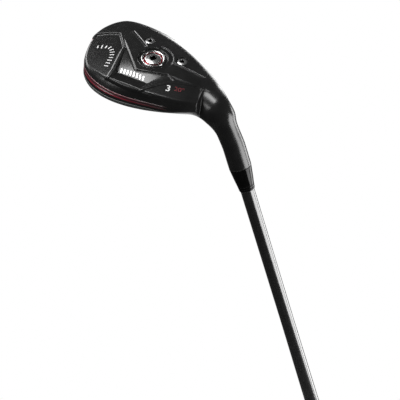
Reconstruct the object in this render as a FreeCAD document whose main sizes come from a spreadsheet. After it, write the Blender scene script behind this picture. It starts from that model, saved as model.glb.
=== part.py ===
"""Right-handed number 3 hybrid golf club, stood on the butt of its grip with the head up.

Lengths are millimetres. The origin is the centre of the butt end, +Z runs up the shaft to the head, +Y is the
way the face looks and +X the heel side. The head is drawn in its own address frame, x to the toe, y to the
target and z up from the ground, and is set on the shaft by the lie angle.
"""
import FreeCAD, Part
import Sketcher
import math
import os
from FreeCAD import Placement, Rotation, Vector

doc = FreeCAD.newDocument("hybrid_club")
sheet = doc.addObject("Spreadsheet::Sheet", "sizes")

SIZES = {
    # club and shaft
    "club_length": 1022.0,  # butt end to the point where the shaft axis meets the ground
    "lie_angle": 58.0,
    "tip_radius": 4.7,
    "tip_parallel_length": 150.0,
    "butt_radius": 7.6,
    "butt_parallel_length": 280.0,
    "shaft_wall": 0.9,
    "tip_wall": 1.5,
    "tip_weight_length": 25.0,
    "glide_gap": 0.05,  # radial room of parts that slide into one another
    # grip
    "grip_length": 268.0,
    "grip_butt_radius": 13.3,
    "grip_mouth_radius": 9.1,
    "grip_mouth_step": 0.5,
    "grip_mouth_length": 2.0,
    "grip_shoulder_height": 13.0,
    "grip_waist_radius": 11.7,
    "grip_waist_height": 70.0,
    "grip_cap_radius": 14.6,
    "grip_cap_height": 9.0,
    "cap_thickness": 4.0,
    "grip_edge_round": 1.6,
    "tape_thickness": 0.4,
    "tape_short": 3.0,  # how far the tape stops inside the grip's mouth
    "vent_radius": 1.75,
    # hosel and ferrule
    "hosel_length": 57.0,  # ground point of the shaft axis to the hosel's end
    "hosel_radius": 7.4,
    "bore_depth": 30.0,
    "ferrule_length": 14.5,
    "ferrule_end_radius": 5.2,
    "ferrule_chamfer": 0.3,
    "ferrule_neck_radius": 5.6,
    "ferrule_collar_length": 3.6,
    "ferrule_groove_width": 0.5,
    "ferrule_groove_depth": 0.2,
    # head form
    "sole_radius": 200.0,
    "sole_edge_height": 5.0,
    "crown_edge_height": 14.0,
    "loft_angle": 20.0,
    "face_bulge_radius": 280.0,
    "face_forward": 11.5,
    "leading_edge_height": 2.0,
    "leading_edge_bevel": 0.7,
    "leading_edge_curve": 130.0,
    "leading_edge_slant": 35.0,
    "wall_thickness": 1.6,
    "sole_thickness": 2.0,
    "crown_thickness": 0.8,
    "face_thickness": 2.0,
    "face_cup_depth": 4.8,
    "crown_ledge": 1.0,
    # face scorelines
    "score_width": 0.9,
    "score_depth": 0.3,
    "score_pitch": 3.4,
    "score_lowest": 7.0,
    "score_length": 44.0,
    # sole relief
    "toe_panel_depth": 0.9,
    "heel_panel_depth": 0.5,
    "channel_depth": 2.3,
    "channel_rim_depth": 0.4,
    "channel_floor": 1.6,  # metal left above the channel
    "rib_width": 1.2,
    "rib_height": 0.4,
    # skirt stripe
    "stripe_height": 8.6,
    "stripe_width": 2.0,
    "stripe_depth": 0.7,
    "stripe_sink": 0.2,
    # weight port
    "port_toe": 46.0,  # port centre, toward the toe from the shaft axis
    "port_back": 14.0,  # port centre, behind the shaft axis
    "recess_radius": 10.2,
    "recess_depth": 1.4,
    "terrace_radius": 12.3,
    "terrace_depth": 0.7,
    "bezel_radius": 7.9,
    "bezel_inner_radius": 6.5,
    "bezel_height": 1.6,
    "bezel_chamfer": 0.5,
    "ring_radius": 6.1,
    "ring_thickness": 0.9,
    "weight_head_radius": 5.1,
    "weight_head_height": 2.4,
    "weight_dome": 0.9,
    "weight_shank_radius": 3.4,
    "weight_shank_length": 9.0,
    "well_step": 0.3,
    "bezel_sink": 0.7,
    "running_gap": 0.1,
    "tip_room": 0.5,
    "boss_wall": 1.6,
    "key_radius": 2.0,
    "key_depth": 2.2,
    # sole screws
    "screw_toe_first": 62.0,
    "screw_back_first": 4.0,
    "screw_toe_second": 33.0,
    "screw_back_second": 0.5,
    "screw_head_radius": 3.3,
    "screw_head_height": 2.0,
    "screw_dome": 0.5,
    "screw_shank_radius": 1.9,
    "screw_shank_length": 4.5,
    "screw_key_radius": 1.2,
    "screw_sink": 0.3,
    "screw_rim": 0.4,
    "screw_boss_wall": 1.2,
    # inner wave bar
    "wave_length": 46.0,
    "wave_width": 7.0,
    "wave_height": 7.5,
}

for row, (alias, number) in enumerate(SIZES.items(), start=1):
    sheet.set(f"A{row}", alias.replace("_", " "))
    sheet.set(f"B{row}", str(number))
    sheet.setAlias(f"B{row}", alias)
doc.recompute()


def size(alias):
    """A driving size, read back from the sheet."""
    return float(getattr(sheet, alias))


def bind(item, **expressions):
    """Tie properties to cells. A double underscore stands for a dot, and each alias for its cell."""
    for prop, expression in expressions.items():
        for alias in sorted(SIZES, key=len, reverse=True):
            expression = expression.replace("<" + alias + ">", "sizes." + alias)
        item.setExpression(prop.replace("__", "."), expression)
    return item


def add(kind, name, **expressions):
    return bind(doc.addObject(kind, name), **expressions)


def boolean(kind, name, base, tool):
    item = doc.addObject(kind, name)
    item.Base = base
    item.Tool = tool
    return item


def cut(name, base, tool):
    return boolean("Part::Cut", name, base, tool)


def common(name, shapes):
    item = doc.addObject("Part::MultiCommon", name)
    item.Shapes = shapes
    return item


def fuse(name, shapes):
    item = doc.addObject("Part::MultiFuse", name)
    item.Shapes = shapes
    item.Refine = True
    return item


# ---------------------------------------------------------------- frames and outlines

def hosel_direction():
    """The shaft axis in the head's frame, from the ground up to the butt."""
    lie = math.radians(size("lie_angle"))
    return Vector(-math.cos(lie), 0, math.sin(lie))


def put_on_club(item, label, toe=0.0, front=0.0, height=0.0):
    """Set a piece drawn in the head's frame on the end of the shaft."""
    item.Label = label
    head = Placement(Vector(0, 0, size("club_length")), Rotation(Vector(0, 1, 0), -90 - size("lie_angle")))
    item.Placement = head.multiply(Placement(Vector(toe, front, height), Rotation()))
    return item


# fixed places in the head's frame, which shape it but aren't sizes of their own
FACE_MIDDLE = 44.0  # toe reach at which the face and leading edge stand furthest forward
SOLE_LOW_TOE, SOLE_LOW_BACK = 40.0, -15.0  # lowest point of the sole's camber
CROWN_RISE, CROWN_LONG, CROWN_SHORT = 69.0, 183.85, 80.05  # half axes of the crown's egg
CROWN_TOE, CROWN_FRONT, CROWN_SEAT, CROWN_TURN = 23.1, 100.9, 34.0, -74.7  # its centre and its turn
CAVITY_HEEL = 7.0  # toe reach where the hollow ends, short of the neck
CUP_HEEL, CUP_TOE = 9.0, 100.0  # stretch of the head that the face cup spans
HOSEL_FOOT = 30.0  # where the round hosel starts, along the shaft axis from the ground
WAVE_BACK = -6.0  # forward reach of the wave bar's rear side
FERRULE_GROOVES = 2  # ring grooves in the ferrule's lip
SCORE_COUNT, SCORE_REACH = 6, 4.0  # scorelines on the face, and how far back their tools reach
STRIPE_TOE, STRIPE_HEEL, STRIPE_FRONT = 95.0, 8.0, -14.0  # stretch of the skirt that the stripe runs along
OUTSIDE, INSIDE = 6.0, 20.0  # how far cutting tools stand out of the sole and reach up into the head
ROOM = {"toe": (-40.0, 120.0), "front": (-90.0, 50.0), "height": (-10.0, 60.0)}  # holds the whole head

# heights above the sole's skin in the weight's port and over the sole screws, as expressions of cells
WELL_FLOOR = "(<bezel_sink> + <bezel_height> + <ring_thickness> + <well_step>)"
BORE_END = f"({WELL_FLOOR} + <weight_shank_length> + <tip_room>)"
SCREW_BORE_END = "(<screw_sink> + <screw_head_height> + <screw_shank_length> + <tip_room>)"

# neck sections: toe reach, forward reach, height, tilt, half width, half height
NECK_SECTIONS = [(9, -7.1, 10.5, 5, 15.2, 9.4), (1, -4.9, 11.9, 24, 13.9, 10.1),
                 (-7, -1.6, 15.7, 46, 10.4, 8.3)]

# plan of the sole's edge and of the wider crown edge: toe reach and forward reach from the shaft axis
SOLE_PLAN = [(-5, 0.4), (6, 9.4), (22, 11.3), (48, 11.2), (72, 9.4), (88.5, 5), (97.4, -6), (97.8, -17),
             (94.4, -28), (86.5, -38), (75, -46.6), (57, -48.4), (40, -44.4), (18, -32.4), (0, -16)]
CROWN_PLAN = [(-5, 0.4), (6, 9.4), (22, 11.3), (48, 11.2), (72, 9.4), (88.5, 5), (95.8, -6.4), (95.2, -17.5),
              (91.2, -28), (84, -38.6), (73.2, -49.6), (57, -54.2), (40, -49.9), (18, -35.6), (-1, -19.5)]

# plan outlines of the sole's sunk panels, and the two ribs that run into the weight's terrace
TOE_PANEL = [(81.5, -15.5), (76, -17.2), (65.5, -23), (50.8, -50), (66, -52), (82, -44), (92, -28)]
HEEL_PANEL = [(27.5, -42), (24.5, -25), (17, -13.6), (8.5, -7), (-1, -15), (12, -34)]
CHANNEL = [(75, -16.6), (43, -29), (28, -16), (28.5, -44), (50, -52), (66.5, -22.5)]
CHANNEL_TOE, CHANNEL_HEEL = (58, -40.5), (26, -27.5)  # ends of the line where the channel is deepest
RIBS = [((79, -6.2), (56, -11.2)), ((12, 2), (37, -8.4))]


def plan_wire(name, crown_share, inset, height):
    """A closed smooth plan outline at one height, between the sole's and the crown's plan, moved inward."""
    points = []
    for sole_point, crown_point in zip(SOLE_PLAN, CROWN_PLAN):
        lower = Vector(sole_point[0], sole_point[1], height)
        upper = Vector(crown_point[0], crown_point[1], height)
        points.append(lower + (upper - lower) * crown_share)
    curve = Part.BSplineCurve()
    curve.interpolate(Points=points, PeriodicFlag=True)
    if inset:
        moved = []
        for point in points:
            along = curve.tangent(curve.parameter(point))[0]
            moved.append(point + Vector(along.y, -along.x, 0) * inset)
        curve = Part.BSplineCurve()
        curve.interpolate(Points=moved, PeriodicFlag=True)
    wire = doc.addObject("Part::Feature", name)
    wire.Shape = Part.Wire(curve.toShape())
    return wire


def head_walls(name, inset):
    """The upright walls of the head: the sole's plan, a bulged skirt and the crown's plan carried up."""
    low, high = size("sole_edge_height"), size("crown_edge_height")
    bulge_height = low + 0.4 * (high - low)
    levels = [(-6, 0), (low, 0), (bulge_height, 0.55), (high, 1), (high + 36, 1)]
    loft = doc.addObject("Part::Loft", name)
    loft.Sections = [plan_wire(f"{name}_{count}", share, inset, height)
                     for count, (height, share) in enumerate(levels)]
    loft.Solid = True
    loft.Ruled = True
    return loft


def face_ball(name, setback):
    """Ball whose skin is the bulged, lofted face moved back by a setback."""
    loft = math.radians(size("loft_angle"))
    radius = size("face_bulge_radius")
    look = Vector(0, math.cos(loft), math.sin(loft))
    middle = Vector(FACE_MIDDLE, size("face_forward"), size("leading_edge_height"))
    ball = add("Part::Sphere", name, Radius=f"<face_bulge_radius> - {setback}")
    ball.Placement = Placement(middle - look * radius, Rotation())
    return ball


def sole_ball(name, setback):
    """Ball whose skin is the cambered sole moved up by a setback."""
    ball = add("Part::Sphere", name, Radius=f"<sole_radius> - {setback}", Placement__Base__z="<sole_radius>")
    ball.Placement.Base = Vector(SOLE_LOW_TOE, SOLE_LOW_BACK, size("sole_radius"))
    return ball


def crown_dome(name, setback):
    """Egg-shaped dome whose skin is the crown moved down by a setback."""
    dome = add("Part::Ellipsoid", name, Radius1=f"{CROWN_RISE} - {setback}",
               Radius2=f"{CROWN_LONG} - {setback}", Radius3=f"{CROWN_SHORT} - {setback}")
    dome.Placement = Placement(Vector(CROWN_TOE, CROWN_FRONT, size("crown_edge_height") - CROWN_SEAT),
                               Rotation(Vector(0, 0, 1), CROWN_TURN))
    return dome


def block(name, **spans):
    """Box in the head's frame that fills its room, apart from the spans that are given."""
    low, high = zip(*[spans.get(axis, ROOM[axis]) for axis in ("toe", "front", "height")])
    box = doc.addObject("Part::Box", name)
    box.Length, box.Width, box.Height = Vector(*high) - Vector(*low)
    box.Placement.Base = Vector(*low)
    return box


def leading_edge_ball():
    """Ball whose skin bevels the edge between the sole and the face."""
    slant = math.radians(size("leading_edge_slant"))
    look = Vector(0, math.cos(slant), -math.sin(slant))
    corner = Vector(FACE_MIDDLE, size("face_forward"), sole_height(FACE_MIDDLE, size("face_forward")))
    ball = add("Part::Sphere", "leading_edge", Radius="<leading_edge_curve>")
    ball.Placement.Base = corner - look * (size("leading_edge_bevel") + size("leading_edge_curve"))
    return ball


def head_form():
    """Outer form of the head without its neck."""
    return common("head_form", [head_walls("outer_walls", 0), sole_ball("sole_skin", "0"),
                                face_ball("face_skin", "0"), crown_dome("crown_skin", "0"),
                                leading_edge_ball()])


def head_cavity():
    """The hollow inside the head, short of the hosel's foot."""
    room = block("cavity_room", toe=(CAVITY_HEEL, CUP_TOE))
    return common("head_cavity", [head_walls("inner_walls", size("wall_thickness")),
                                  sole_ball("sole_inside", "<sole_thickness>"),
                                  face_ball("face_inside", "<face_thickness>"),
                                  crown_dome("crown_inside", "<crown_thickness>"), room])


def along_hosel(name, radius, start, length):
    """Cylinder on the shaft axis from a distance above the ground point."""
    rod = add("Part::Cylinder", name, Radius=radius, Height=length)
    direction = hosel_direction()
    rod.Placement = Placement(direction * start, Rotation(Vector(0, 0, 1), direction))
    return rod


def neck():
    """Neck swept from inside the heel of the head round to the foot of the hosel."""
    sections = []
    for count, (toe, front, height, tilt, half_width, half_height) in enumerate(NECK_SECTIONS):
        lean = math.radians(tilt)
        across = Vector(0, 1, 0)
        normal = Vector(-math.cos(lean), 0, math.sin(lean))
        ring = add("Part::Ellipse", f"neck_section_{count}", MajorRadius=str(half_width),
                   MinorRadius=str(half_height))
        ring.Placement = Placement(Vector(toe, front, height), Rotation(across, normal.cross(across), normal))
        sections.append(ring)
    foot = add("Part::Circle", "neck_top", Radius="<hosel_radius>")
    direction = hosel_direction()
    across = Vector(0, 1, 0)
    foot.Placement = Placement(direction * HOSEL_FOOT, Rotation(across, direction.cross(across), direction))
    sections.append(foot)
    loft = doc.addObject("Part::Loft", "neck")
    loft.Sections = sections
    loft.Solid = True
    return loft


def disc(name, radius, bottom, height, toe, front):
    """Upright cylinder in the head's frame."""
    item = add("Part::Cylinder", name, Radius=radius, Height=height, Placement__Base__z=bottom)
    item.Placement.Base = Vector(toe, front, 0)
    return item


def screw_places():
    """Toe and forward reach of the two sole screws."""
    return [(size("screw_toe_first"), -size("screw_back_first")),
            (size("screw_toe_second"), -size("screw_back_second"))]


def sole_height(toe, front):
    """Height of the sole's skin above the ground."""
    offset = math.hypot(toe - SOLE_LOW_TOE, front - SOLE_LOW_BACK)
    return size("sole_radius") - math.sqrt(size("sole_radius") ** 2 - offset ** 2)


def prism(name, corners, top):
    """Upright prism over a plan outline, from outside the sole up to a height expression."""
    base = doc.addObject("Part::Feature", f"{name}_plan")
    base.Shape = Part.makePolygon([Vector(toe, front, -OUTSIDE) for toe, front in corners + corners[:1]])
    return raised(name, base, top)


def raised(name, base, top):
    """Solid drawn up from a plan outline that lies outside the sole."""
    solid = add("Part::Extrusion", name, LengthFwd=f"{OUTSIDE} + {top}")
    solid.Base = base
    solid.Dir = Vector(0, 0, 1)
    solid.DirMode = "Custom"
    solid.Solid = True
    return solid


def panel(name, corners, depth):
    """Part of the sole's skin under a plan outline, sunk evenly along the camber by a cell's depth."""
    return cut(name, prism(f"{name}_block", corners, str(INSIDE)), sole_ball(f"{name}_floor", depth))


def under_plane(name, first, second, third):
    """Block under the plane through three points, each a plan point and its depth in the sole."""
    low, along, beyond = [Vector(toe, front, sole_height(toe, front) + depth)
                          for (toe, front), depth in (first, second, third)]
    side = (along - low).normalize()
    up = side.cross(beyond - low).normalize()
    if up.z < 0:
        up = up * -1
    lid = block(name)
    turn = Rotation(side, up.cross(side), up)
    lid.Placement = Placement(low - turn.multVec(Vector(lid.Length / 2, lid.Width / 2, lid.Height)), turn)
    return lid


def channel():
    """Folded channel behind the weight: two facets fall to its deepest line and one rises to the rear rim."""
    deep = size("channel_depth")
    toe_fold, middle_fold, heel_fold = CHANNEL[:3]
    toe_side = under_plane("channel_toe_side", (toe_fold, 0), (middle_fold, 0), (CHANNEL_TOE, deep))
    heel_side = under_plane("channel_heel_side", (middle_fold, 0), (heel_fold, 0), (CHANNEL_HEEL, deep))
    rear = under_plane("channel_rear", (CHANNEL_TOE, deep), (CHANNEL_HEEL, deep),
                       (CHANNEL[4], size("channel_rim_depth")))
    return common("channel", [prism("channel_block", CHANNEL, str(INSIDE)), rear,
                              fuse("channel_front", [toe_side, heel_side])])


def ribs():
    """Two low ribs that stand on the sole and run into the weight's terrace."""
    bars = []
    for count, (start, end) in enumerate(RIBS):
        bar = add("Part::Box", f"rib_{count}", Width="<rib_width>", Height=f"<sole_thickness> + {OUTSIDE}",
                  Placement__Base__z=f"-{OUTSIDE}")
        bar.Length = math.dist(start, end)
        turn = Rotation(Vector(0, 0, 1), math.degrees(math.atan2(end[1] - start[1], end[0] - start[0])))
        corner = Vector(start[0], start[1], -OUTSIDE) - turn.multVec(Vector(0, size("rib_width") / 2, 0))
        bar.Placement = Placement(corner, turn)
        bars.append(bar)
    return common("ribs", [fuse("rib_bars", bars), sole_ball("rib_skin", "(-<rib_height>)")])


def inner_metal(outer):
    """Bosses, wave bar and channel floor that stand on the sole inside the hollow."""
    toe, front = size("port_toe"), -size("port_back")
    shapes = [disc("weight_boss", "<bezel_radius> + <boss_wall>", "0", f"{BORE_END} + <boss_wall>",
                   toe, front)]
    for count, (screw_toe, screw_front) in enumerate(screw_places()):
        shapes.append(disc(f"screw_boss_{count}", "<screw_shank_radius> + <screw_boss_wall>", "0",
                           f"{SCREW_BORE_END} + <screw_boss_wall>", screw_toe, screw_front))
    bar = add("Part::Box", "wave_bar", Length="<wave_length>", Width="<wave_width>",
              Height="<sole_thickness> + <wave_height>")
    bar.Placement.Base = Vector(toe - size("wave_length") / 2, WAVE_BACK, 0)
    shapes.append(bar)
    floor = doc.addObject("Part::Offset2D", "channel_floor_plan")
    floor.Source = doc.getObject("channel_block_plan")
    bind(floor, Value="<channel_floor>")
    skin = f"{sole_height(*CHANNEL_TOE):.3f}"
    shapes.append(raised("channel_floor", floor, f"{skin} + <channel_depth> + <channel_floor>"))
    return common("inner_metal", [fuse("inner_blocks", shapes), outer])


def sole_openings(channel_pit):
    """Everything cut into the sole: its panels, the weight's recess, well and bore, and the screws' seats."""
    toe, front = size("port_toe"), -size("port_back")

    def pit(name, radius, top, toe, front):
        return disc(name, radius, f"-{OUTSIDE}", f"{top} + {OUTSIDE}", toe, front)

    shapes = [
        panel("toe_panel", TOE_PANEL, "<toe_panel_depth>"),
        panel("heel_panel", HEEL_PANEL, "<heel_panel_depth>"),
        channel_pit,
        pit("weight_terrace", "<terrace_radius>", "<terrace_depth>", toe, front),
        pit("weight_recess", "<recess_radius>", "<recess_depth>", toe, front),
        pit("bezel_seat", "<bezel_radius> + <glide_gap>", "<bezel_sink> + <bezel_height>", toe, front),
        pit("weight_well", "<ring_radius> + <running_gap>", WELL_FLOOR, toe, front),
        pit("weight_bore", "<weight_shank_radius> + <running_gap>", BORE_END, toe, front),
    ]
    for count, (screw_toe, screw_front) in enumerate(screw_places()):
        skin = f"{sole_height(screw_toe, screw_front):.3f}"
        shapes.append(pit(f"screw_seat_{count}", "<screw_head_radius> + <screw_rim>",
                          f"{skin} + <screw_sink> + <screw_head_height>", screw_toe, screw_front))
        shapes.append(pit(f"screw_bore_{count}", "<screw_shank_radius> + <glide_gap>",
                          f"{skin} + {SCREW_BORE_END}", screw_toe, screw_front))
    return fuse("sole_openings", shapes)


def stripe_band(name, depth, margin):
    """Slice of the skirt's skin, as deep as asked, that the stripe fills from toe to heel."""
    band = block(f"{name}_band", toe=(STRIPE_HEEL + margin, STRIPE_TOE - margin),
                 front=(ROOM["front"][0], STRIPE_FRONT))
    bind(band, Height=f"<stripe_width> - 2 * {margin}", Placement__Base__z=f"<stripe_height> + {margin}")
    return cut(name, common(f"{name}_slab", [head_walls(f"{name}_outer", -1), band]),
               head_walls(f"{name}_inner", depth))


def scorelines():
    """Level grooves across the middle of the face."""
    grooves = []
    loft = math.radians(size("loft_angle"))
    for count in range(SCORE_COUNT):
        height = size("score_lowest") + count * size("score_pitch")
        front = size("face_forward") - (height - size("leading_edge_height")) * math.tan(loft)
        groove = block(f"scoreline_{count}", front=(front - SCORE_REACH, ROOM["front"][1]))
        bind(groove, Length="<score_length>", Height="<score_width>")
        groove.Placement.Base.x = FACE_MIDDLE - size("score_length") / 2
        groove.Placement.Base.z = height
        grooves.append(groove)
    return cut("scorelines", fuse("score_bars", grooves), face_ball("score_floor", "<score_depth>"))


def head_pieces():
    """Cast body, face cup and crown, which together close the hollow head."""
    form = head_form()
    channel_pit = channel()
    spigot = along_hosel("hosel", "<hosel_radius>", HOSEL_FOOT, f"<hosel_length> - {HOSEL_FOOT}")
    shell = fuse("head_shell", [cut("head_skin", form, head_cavity()), inner_metal(form), neck(), spigot,
                                ribs()])
    bore = along_hosel("hosel_bore", "<tip_radius> + <glide_gap>",
                       size("hosel_length") - size("bore_depth"), "<bore_depth> + 5")
    holes = fuse("head_openings", [bore, sole_openings(channel_pit), scorelines(),
                                   stripe_band("stripe_groove", size("stripe_depth"), 0.0)])
    metal = cut("head_metal", shell, holes)

    behind_cup = face_ball("behind_cup", "<face_cup_depth>")
    span = block("cup_span", toe=(CUP_HEEL, CUP_TOE))
    cup_block = cut("cup_block", span, behind_cup)
    face_cup = common("face_cup", [metal, cup_block])
    put_on_club(face_cup, "face_cup")

    lid = common("crown_lid", [head_walls("crown_rim", size("crown_ledge")), behind_cup, span])
    under_crown = crown_dome("under_crown", "<crown_thickness>")
    lid_block = cut("lid_block", lid, under_crown)
    crown = common("crown", [form, lid_block])
    put_on_club(crown, "crown")

    taken = fuse("taken", [cup_block, lid_block])
    put_on_club(cut("head_body", metal, taken), "head_body")
    return ["head_body", "face_cup", "crown"]


def profile_body(label, corners):
    """Body turned about its own z axis from corners given as a radius and a height, each an expression."""
    body = doc.addObject("PartDesign::Body", label)
    body.Label = label
    sketch = body.newObject("Sketcher::SketchObject", f"{label}_profile")
    upright = [plane for plane in body.Origin.OriginFeatures if plane.Role == "XZ_Plane"][0]
    sketch.AttachmentSupport = [(upright, "")]
    sketch.MapMode = "FlatFace"
    spots = [Vector(worth(radius), worth(height), 0) for radius, height in corners]
    for start, end in zip(spots, spots[1:] + spots[:1]):
        sketch.addGeometry(Part.LineSegment(start, end), False)
    last = len(corners) - 1
    for count, (radius, height) in enumerate(corners):
        sketch.addConstraint(Sketcher.Constraint("Coincident", last if count == 0 else count - 1, 2, count, 1))
    for count, (radius, height) in enumerate(corners):
        for kind, axis, expression, place in (("DistanceX", -2, radius, spots[count].x),
                                              ("DistanceY", -1, height, spots[count].y)):
            if expression == "0":
                sketch.addConstraint(Sketcher.Constraint("PointOnObject", count, 1, axis))
                continue
            number = sketch.addConstraint(Sketcher.Constraint(kind, -1, 1, count, 1, place))
            sketch.renameConstraint(number, f"{kind}_{count}")
            bind(sketch, **{f"Constraints__{kind}_{count}": expression})
    turned = body.newObject("PartDesign::Revolution", f"{label}_turned")
    turned.Profile = sketch
    turned.ReferenceAxis = (sketch, ["V_Axis"])
    turned.Angle = 360
    body.Tip = turned
    return body


def worth(expression):
    """The number that an expression of cells stands for."""
    probe = doc.getObject("probe") or doc.addObject("App::FeaturePython", "probe")
    if "number" not in probe.PropertiesList:
        probe.addProperty("App::PropertyFloat", "number")
    bind(probe, number=expression)
    probe.recompute()
    return probe.number


def key_recess(body, name, radius, depth):
    """Six-sided key recess pocketed into the outer end of a screw."""
    sketch = body.newObject("Sketcher::SketchObject", f"{name}_sketch")
    flat = [plane for plane in body.Origin.OriginFeatures if plane.Role == "XY_Plane"][0]
    sketch.AttachmentSupport = [(flat, "")]
    sketch.MapMode = "FlatFace"
    corners = [Vector(math.cos(math.radians(60 * turn)), math.sin(math.radians(60 * turn)), 0) * worth(radius)
               for turn in range(6)]
    for start, end in zip(corners, corners[1:] + corners[:1]):
        sketch.addGeometry(Part.LineSegment(start, end), False)
    ring = sketch.addGeometry(Part.Circle(Vector(0, 0, 0), Vector(0, 0, 1), worth(radius)), True)
    sketch.addConstraint(Sketcher.Constraint("Coincident", ring, 3, -1, 1))
    for side in range(6):
        sketch.addConstraint(Sketcher.Constraint("Coincident", side, 2, (side + 1) % 6, 1))
        sketch.addConstraint(Sketcher.Constraint("PointOnObject", side, 1, ring))
        if side:
            sketch.addConstraint(Sketcher.Constraint("Equal", side, 0))
    sketch.addConstraint(Sketcher.Constraint("PointOnObject", 0, 1, -1))
    number = sketch.addConstraint(Sketcher.Constraint("Radius", ring, worth(radius)))
    sketch.renameConstraint(number, "key")
    bind(sketch, Constraints__key=radius)
    pocket = body.newObject("PartDesign::Pocket", name)
    pocket.Profile = sketch
    pocket.Reversed = True
    bind(pocket, Length=depth)
    body.Tip = pocket


def screw(label, head_radius, head_height, dome, shank_radius, shank_length, key_radius, key_depth):
    """Domed screw along z, its outermost point at the origin and its shank upward."""
    body = profile_body(label, [
        ("0", "0"), (f"0.55 * {head_radius}", "0"), (head_radius, dome), (head_radius, head_height),
        (shank_radius, head_height), (shank_radius, f"{head_height} + {shank_length}"),
        ("0", f"{head_height} + {shank_length}")])
    key_recess(body, f"{label}_key", key_radius, key_depth)
    return body


def weight_parts():
    """Bezel, washer ring and weight screw in the sole's port."""
    toe, front = size("port_toe"), -size("port_back")
    bezel = profile_body("port_bezel", [
        ("<bezel_inner_radius>", "0"), ("<bezel_radius> - <bezel_chamfer>", "0"),
        ("<bezel_radius>", "<bezel_chamfer>"), ("<bezel_radius>", "<bezel_height>"),
        ("<bezel_inner_radius>", "<bezel_height>")])
    put_on_club(bezel, "port_bezel", toe, front, size("bezel_sink"))
    floor = worth(WELL_FLOOR)
    ring = profile_body("weight_ring", [
        ("<weight_shank_radius> + <running_gap>", "0"), ("<ring_radius>", "0"),
        ("<ring_radius>", "<ring_thickness>"), ("<weight_shank_radius> + <running_gap>", "<ring_thickness>")])
    put_on_club(ring, "weight_ring", toe, front, floor - size("ring_thickness"))
    weight = screw("weight_screw", "<weight_head_radius>", "<weight_head_height>", "<weight_dome>",
                   "<weight_shank_radius>", "<weight_shank_length> + <ring_thickness>", "<key_radius>",
                   "<key_depth>")
    put_on_club(weight, "weight_screw", toe, front,
                floor - size("ring_thickness") - size("weight_head_height"))
    return ["port_bezel", "weight_ring", "weight_screw"]


def sole_screws():
    """The two small screws beside the face, one node."""
    pair = []
    for count, (toe, front) in enumerate(screw_places()):
        one = screw(f"sole_screw_{count}", "<screw_head_radius>", "<screw_head_height>", "<screw_dome>",
                    "<screw_shank_radius>", "<screw_shank_length>", "<screw_key_radius>",
                    "<screw_head_height> - <screw_dome>")
        one.Placement = Placement(Vector(toe, front, sole_height(toe, front) + size("screw_sink")), Rotation())
        pair.append(one)
    both = doc.addObject("Part::Compound", "sole_screws")
    both.Links = pair
    put_on_club(both, "sole_screws")
    return ["sole_screws"]


def skirt_stripe():
    """Red inlay that lies in the skirt's groove, a little below its skin."""
    depth = size("stripe_depth") - size("glide_gap")
    stripe = cut("skirt_stripe", stripe_band("stripe_inlay", depth, 0.05),
                 cut("stripe_air", block("stripe_space"), head_walls("stripe_face", size("stripe_sink"))))
    put_on_club(stripe, "skirt_stripe")
    return ["skirt_stripe"]


def shaft_parts():
    """Shaft tube and the swing weight in its tip, along the club's z axis."""
    tip = "(<club_length> - <hosel_length> + <bore_depth>)"
    taper_end = f"({tip} - <tip_parallel_length>)"
    bore, tip_bore = "<butt_radius> - <shaft_wall>", "<tip_radius> - <tip_wall>"
    profile_body("shaft", [
        ("<butt_radius>", "<cap_thickness>"), ("<butt_radius>", "<butt_parallel_length>"),
        ("<tip_radius>", taper_end), ("<tip_radius>", tip), (tip_bore, tip), (tip_bore, taper_end),
        (bore, "<butt_parallel_length>"), (bore, "<cap_thickness>")])
    weight = f"{tip_bore} - <glide_gap>"
    profile_body("tip_weight", [
        ("0", f"{tip} - <tip_weight_length>"), (weight, f"{tip} - <tip_weight_length>"), (weight, tip),
        ("0", tip)])
    return ["shaft", "tip_weight"]


def grip_parts():
    """Tape on the shaft, the rubber grip over it and the cap that closes the butt."""
    start, end = "<cap_thickness>", "<grip_length>"
    tape = "<butt_radius> + <tape_thickness>"
    profile_body("grip_tape", [
        ("<butt_radius> + <glide_gap>", start), (tape, start), (tape, f"{end} - <tape_short>"),
        ("<butt_radius> + <glide_gap>", f"{end} - <tape_short>")])
    profile_body("grip", [
        (f"{tape} + <glide_gap>", start), ("<grip_cap_radius>", start),
        ("<grip_cap_radius>", "<grip_cap_height>"), ("<grip_butt_radius>", "<grip_shoulder_height>"),
        ("<grip_waist_radius>", "<grip_waist_height>"),
        ("<grip_mouth_radius>", f"{end} - <grip_mouth_length>"),
        ("<grip_mouth_radius> - <grip_mouth_step>", end), (f"{tape} + <glide_gap>", end)])
    profile_body("grip_cap", [
        ("<vent_radius>", "0"), ("<grip_cap_radius> - <grip_edge_round>", "0"),
        ("<grip_cap_radius>", "<grip_edge_round>"), ("<grip_cap_radius>", start), ("<vent_radius>", start)])
    return ["grip_tape", "grip", "grip_cap"]


def ferrule():
    """Collar that covers the joint of hosel and shaft: a flare and a grooved lip at its slender end."""
    top = "(<club_length> - <hosel_length>)"
    low = f"({top} - <ferrule_length>)"
    slim = "<ferrule_end_radius>"
    corners = [("<tip_radius> + <glide_gap>", low), (f"{slim} - <ferrule_chamfer>", low),
               (slim, f"{low} + <ferrule_chamfer>")]
    for count in range(FERRULE_GROOVES):
        middle = f"({low} + <ferrule_collar_length> * {count + 1} / {FERRULE_GROOVES})"
        rim = f"{slim} + (<ferrule_neck_radius> - {slim}) * {count + 1} / {FERRULE_GROOVES}"
        corners += [(rim, f"{middle} - <ferrule_groove_width>"),
                    (f"{rim} - <ferrule_groove_depth>", f"{middle} - <ferrule_groove_width> / 2"),
                    (rim, middle)]
    corners += [("<hosel_radius>", top), ("<tip_radius> + <glide_gap>", top)]
    profile_body("ferrule", corners)
    return ["ferrule"]


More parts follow.
